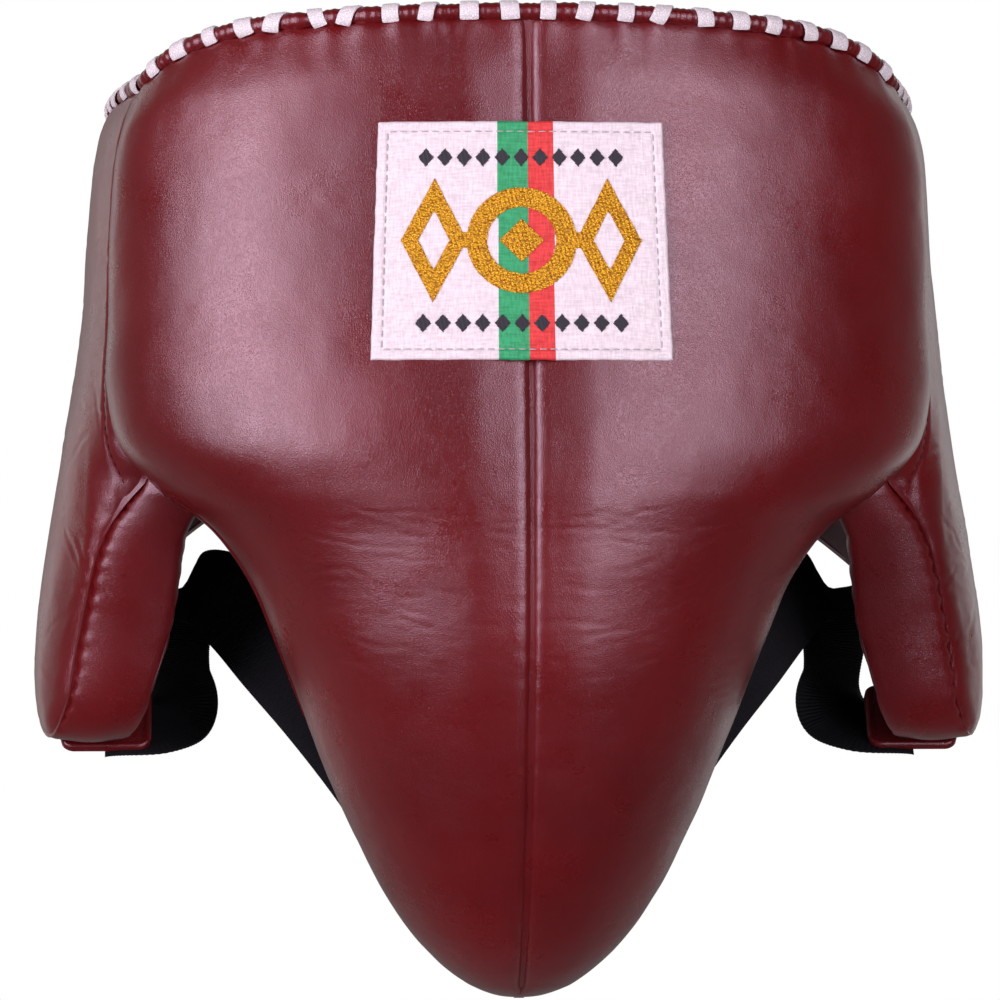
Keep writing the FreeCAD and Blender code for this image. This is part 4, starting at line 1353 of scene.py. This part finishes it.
def lift_at(across_at, above_at):
    """The label's own height at places on it."""
    last_column = LABEL_COLUMNS - 1
    last_row = LABEL_ROWS - 1
    column = np.clip((across_at + LABEL_WIDE / 2) / LABEL_WIDE * last_column, 0, last_column).astype(int)
    row = np.clip((above_at + LABEL_TALL / 2) / LABEL_TALL * last_row, 0, last_row).astype(int)
    return cloth[row, column]


STITCH_STEP = 0.3             # size of the embroidery's grid


def embroidery(inside, wide, tall, thick):
    """Raised stitching over the label wherever inside(across, above) is true."""
    columns = int(wide / STITCH_STEP)
    rows = int(tall / STITCH_STEP)
    a = np.linspace(-wide / 2, wide / 2, columns)[None] * np.ones((rows, 1))
    b = np.linspace(-tall / 2, tall / 2, rows)[:, None] * np.ones((1, columns))
    faces = grid_faces(rows, columns)
    middle_a = a.reshape(-1)[faces].mean(axis=1)
    middle_b = b.reshape(-1)[faces].mean(axis=1)
    faces = faces[inside(middle_a, middle_b)]
    satin = 0.10 * np.sin(a * 4.6 + b * 1.2) + 0.06 * lumps(np.stack([a, 0 * a, b], axis=-1), 1.1, 74)
    lift = lift_at(a, b)
    return plate_part(label_place(a, b, lift + thick + satin), label_place(a, b, lift - 0.25), faces)


def motif(a, b):
    """A plain ornament: a ring between two open lozenges, joined by bars."""
    ring = np.hypot(a, b)
    centre = ((ring < 17.5) & (ring > 11)) | (np.abs(a) + np.abs(b) < 7)
    lozenge = np.abs(np.abs(a) - 28) / 10.5 + np.abs(b) / 20.5
    sides = (lozenge < 1) & (lozenge > 0.48)
    bars = (np.abs(b) < 2.6) & (np.abs(a) > 15) & (np.abs(a) < 20)
    return centre | sides | bars


DASH_PITCH = 6.2
DASH_UP = 27.5                # height of a row of lozenges over or under the label's middle
DASH_REACH = 34               # half the length of a row


def dashes(height):
    """A row of small lozenges at a height on the label."""
    def inside(a, b):
        place = (a + DASH_PITCH / 2) % DASH_PITCH - DASH_PITCH / 2
        return (np.abs(place) / 2.5 + np.abs(b - height) / 3.0 < 1) & (np.abs(a) < DASH_REACH)
    return inside


make("label_motif_gold", embroidery(motif, 80, 44, 0.25), GOLD, "front", sharp=80)
for name, height in (("upper", DASH_UP), ("lower", -DASH_UP)):
    make(f"label_row_{name}_navy", embroidery(dashes(height), 78, 64, 0.2), THREAD_NAVY,
         "front", sharp=80)



def label_surface(a, b, height):
    return label_place(a, b, lift_at(a, b) + height)


hem_corner = (LABEL_WIDE / 2 - HEM, LABEL_TALL / 2 - HEM)
hem_stitches = border_stitches((-hem_corner[0], -hem_corner[1]), hem_corner, label_surface, 0, 40,
                               3.4, 2.7, 0.45)
make("label_hem_stitches", hem_stitches, THREAD_GREY, "front")

# ---- stitching in the leather ---------------------------------------------------------------------
LEG_STITCH_TOP = 176
LEG_STITCH_COLUMN = FRONT_COLUMNS - 3
LEG_STITCH_FIRST = 6          # the first row with a stitch
FOLD_STITCH_ROWS = slice(8, -6)
SEAM_STITCH_LOW = 8
for side, sign in SIDES.items():
    stitched = front_skins[side][:, -1, 2] < LEG_STITCH_TOP
    stitched[:LEG_STITCH_FIRST] = False
    make(f"leg_edge_{side}_stitches",
         stitch_part(front_skins[side][stitched, LEG_STITCH_COLUMN],
                     front_normals[side][stitched, LEG_STITCH_COLUMN], 2.6, 1.3, 0.5),
         THREAD_DARK, "front")
    wing = wing_skins[side][FOLD_STITCH_ROWS]
    normals = flipped(grid_normals(flipped(wing_skins[side], sign)), sign)[FOLD_STITCH_ROWS]
    line_points = np.stack([read_at(FOLD_STITCH, row[:, 1], row) for row in wing])
    lifts = normals[:, int(FOLD_STITCH / WING_REACH * WING_COLUMNS)]
    make_wing_piece(f"fold_{side}_stitches", stitch_part(line_points, lifts, 3.2, 2.1, 0.45), THREAD_DARK)

seam_rows = front_skins["right"][:, 0, 2] > SEAM_STITCH_LOW
seam_line = front_skins["right"][seam_rows, 0] - np.array([0, 0.25, 0])
make("centre_seam_stitches", stitch_part(seam_line, np.array([0.0, -1.0, 0.0]), 3.2, 2.3, 0.6), THREAD_DARK,
     "front")
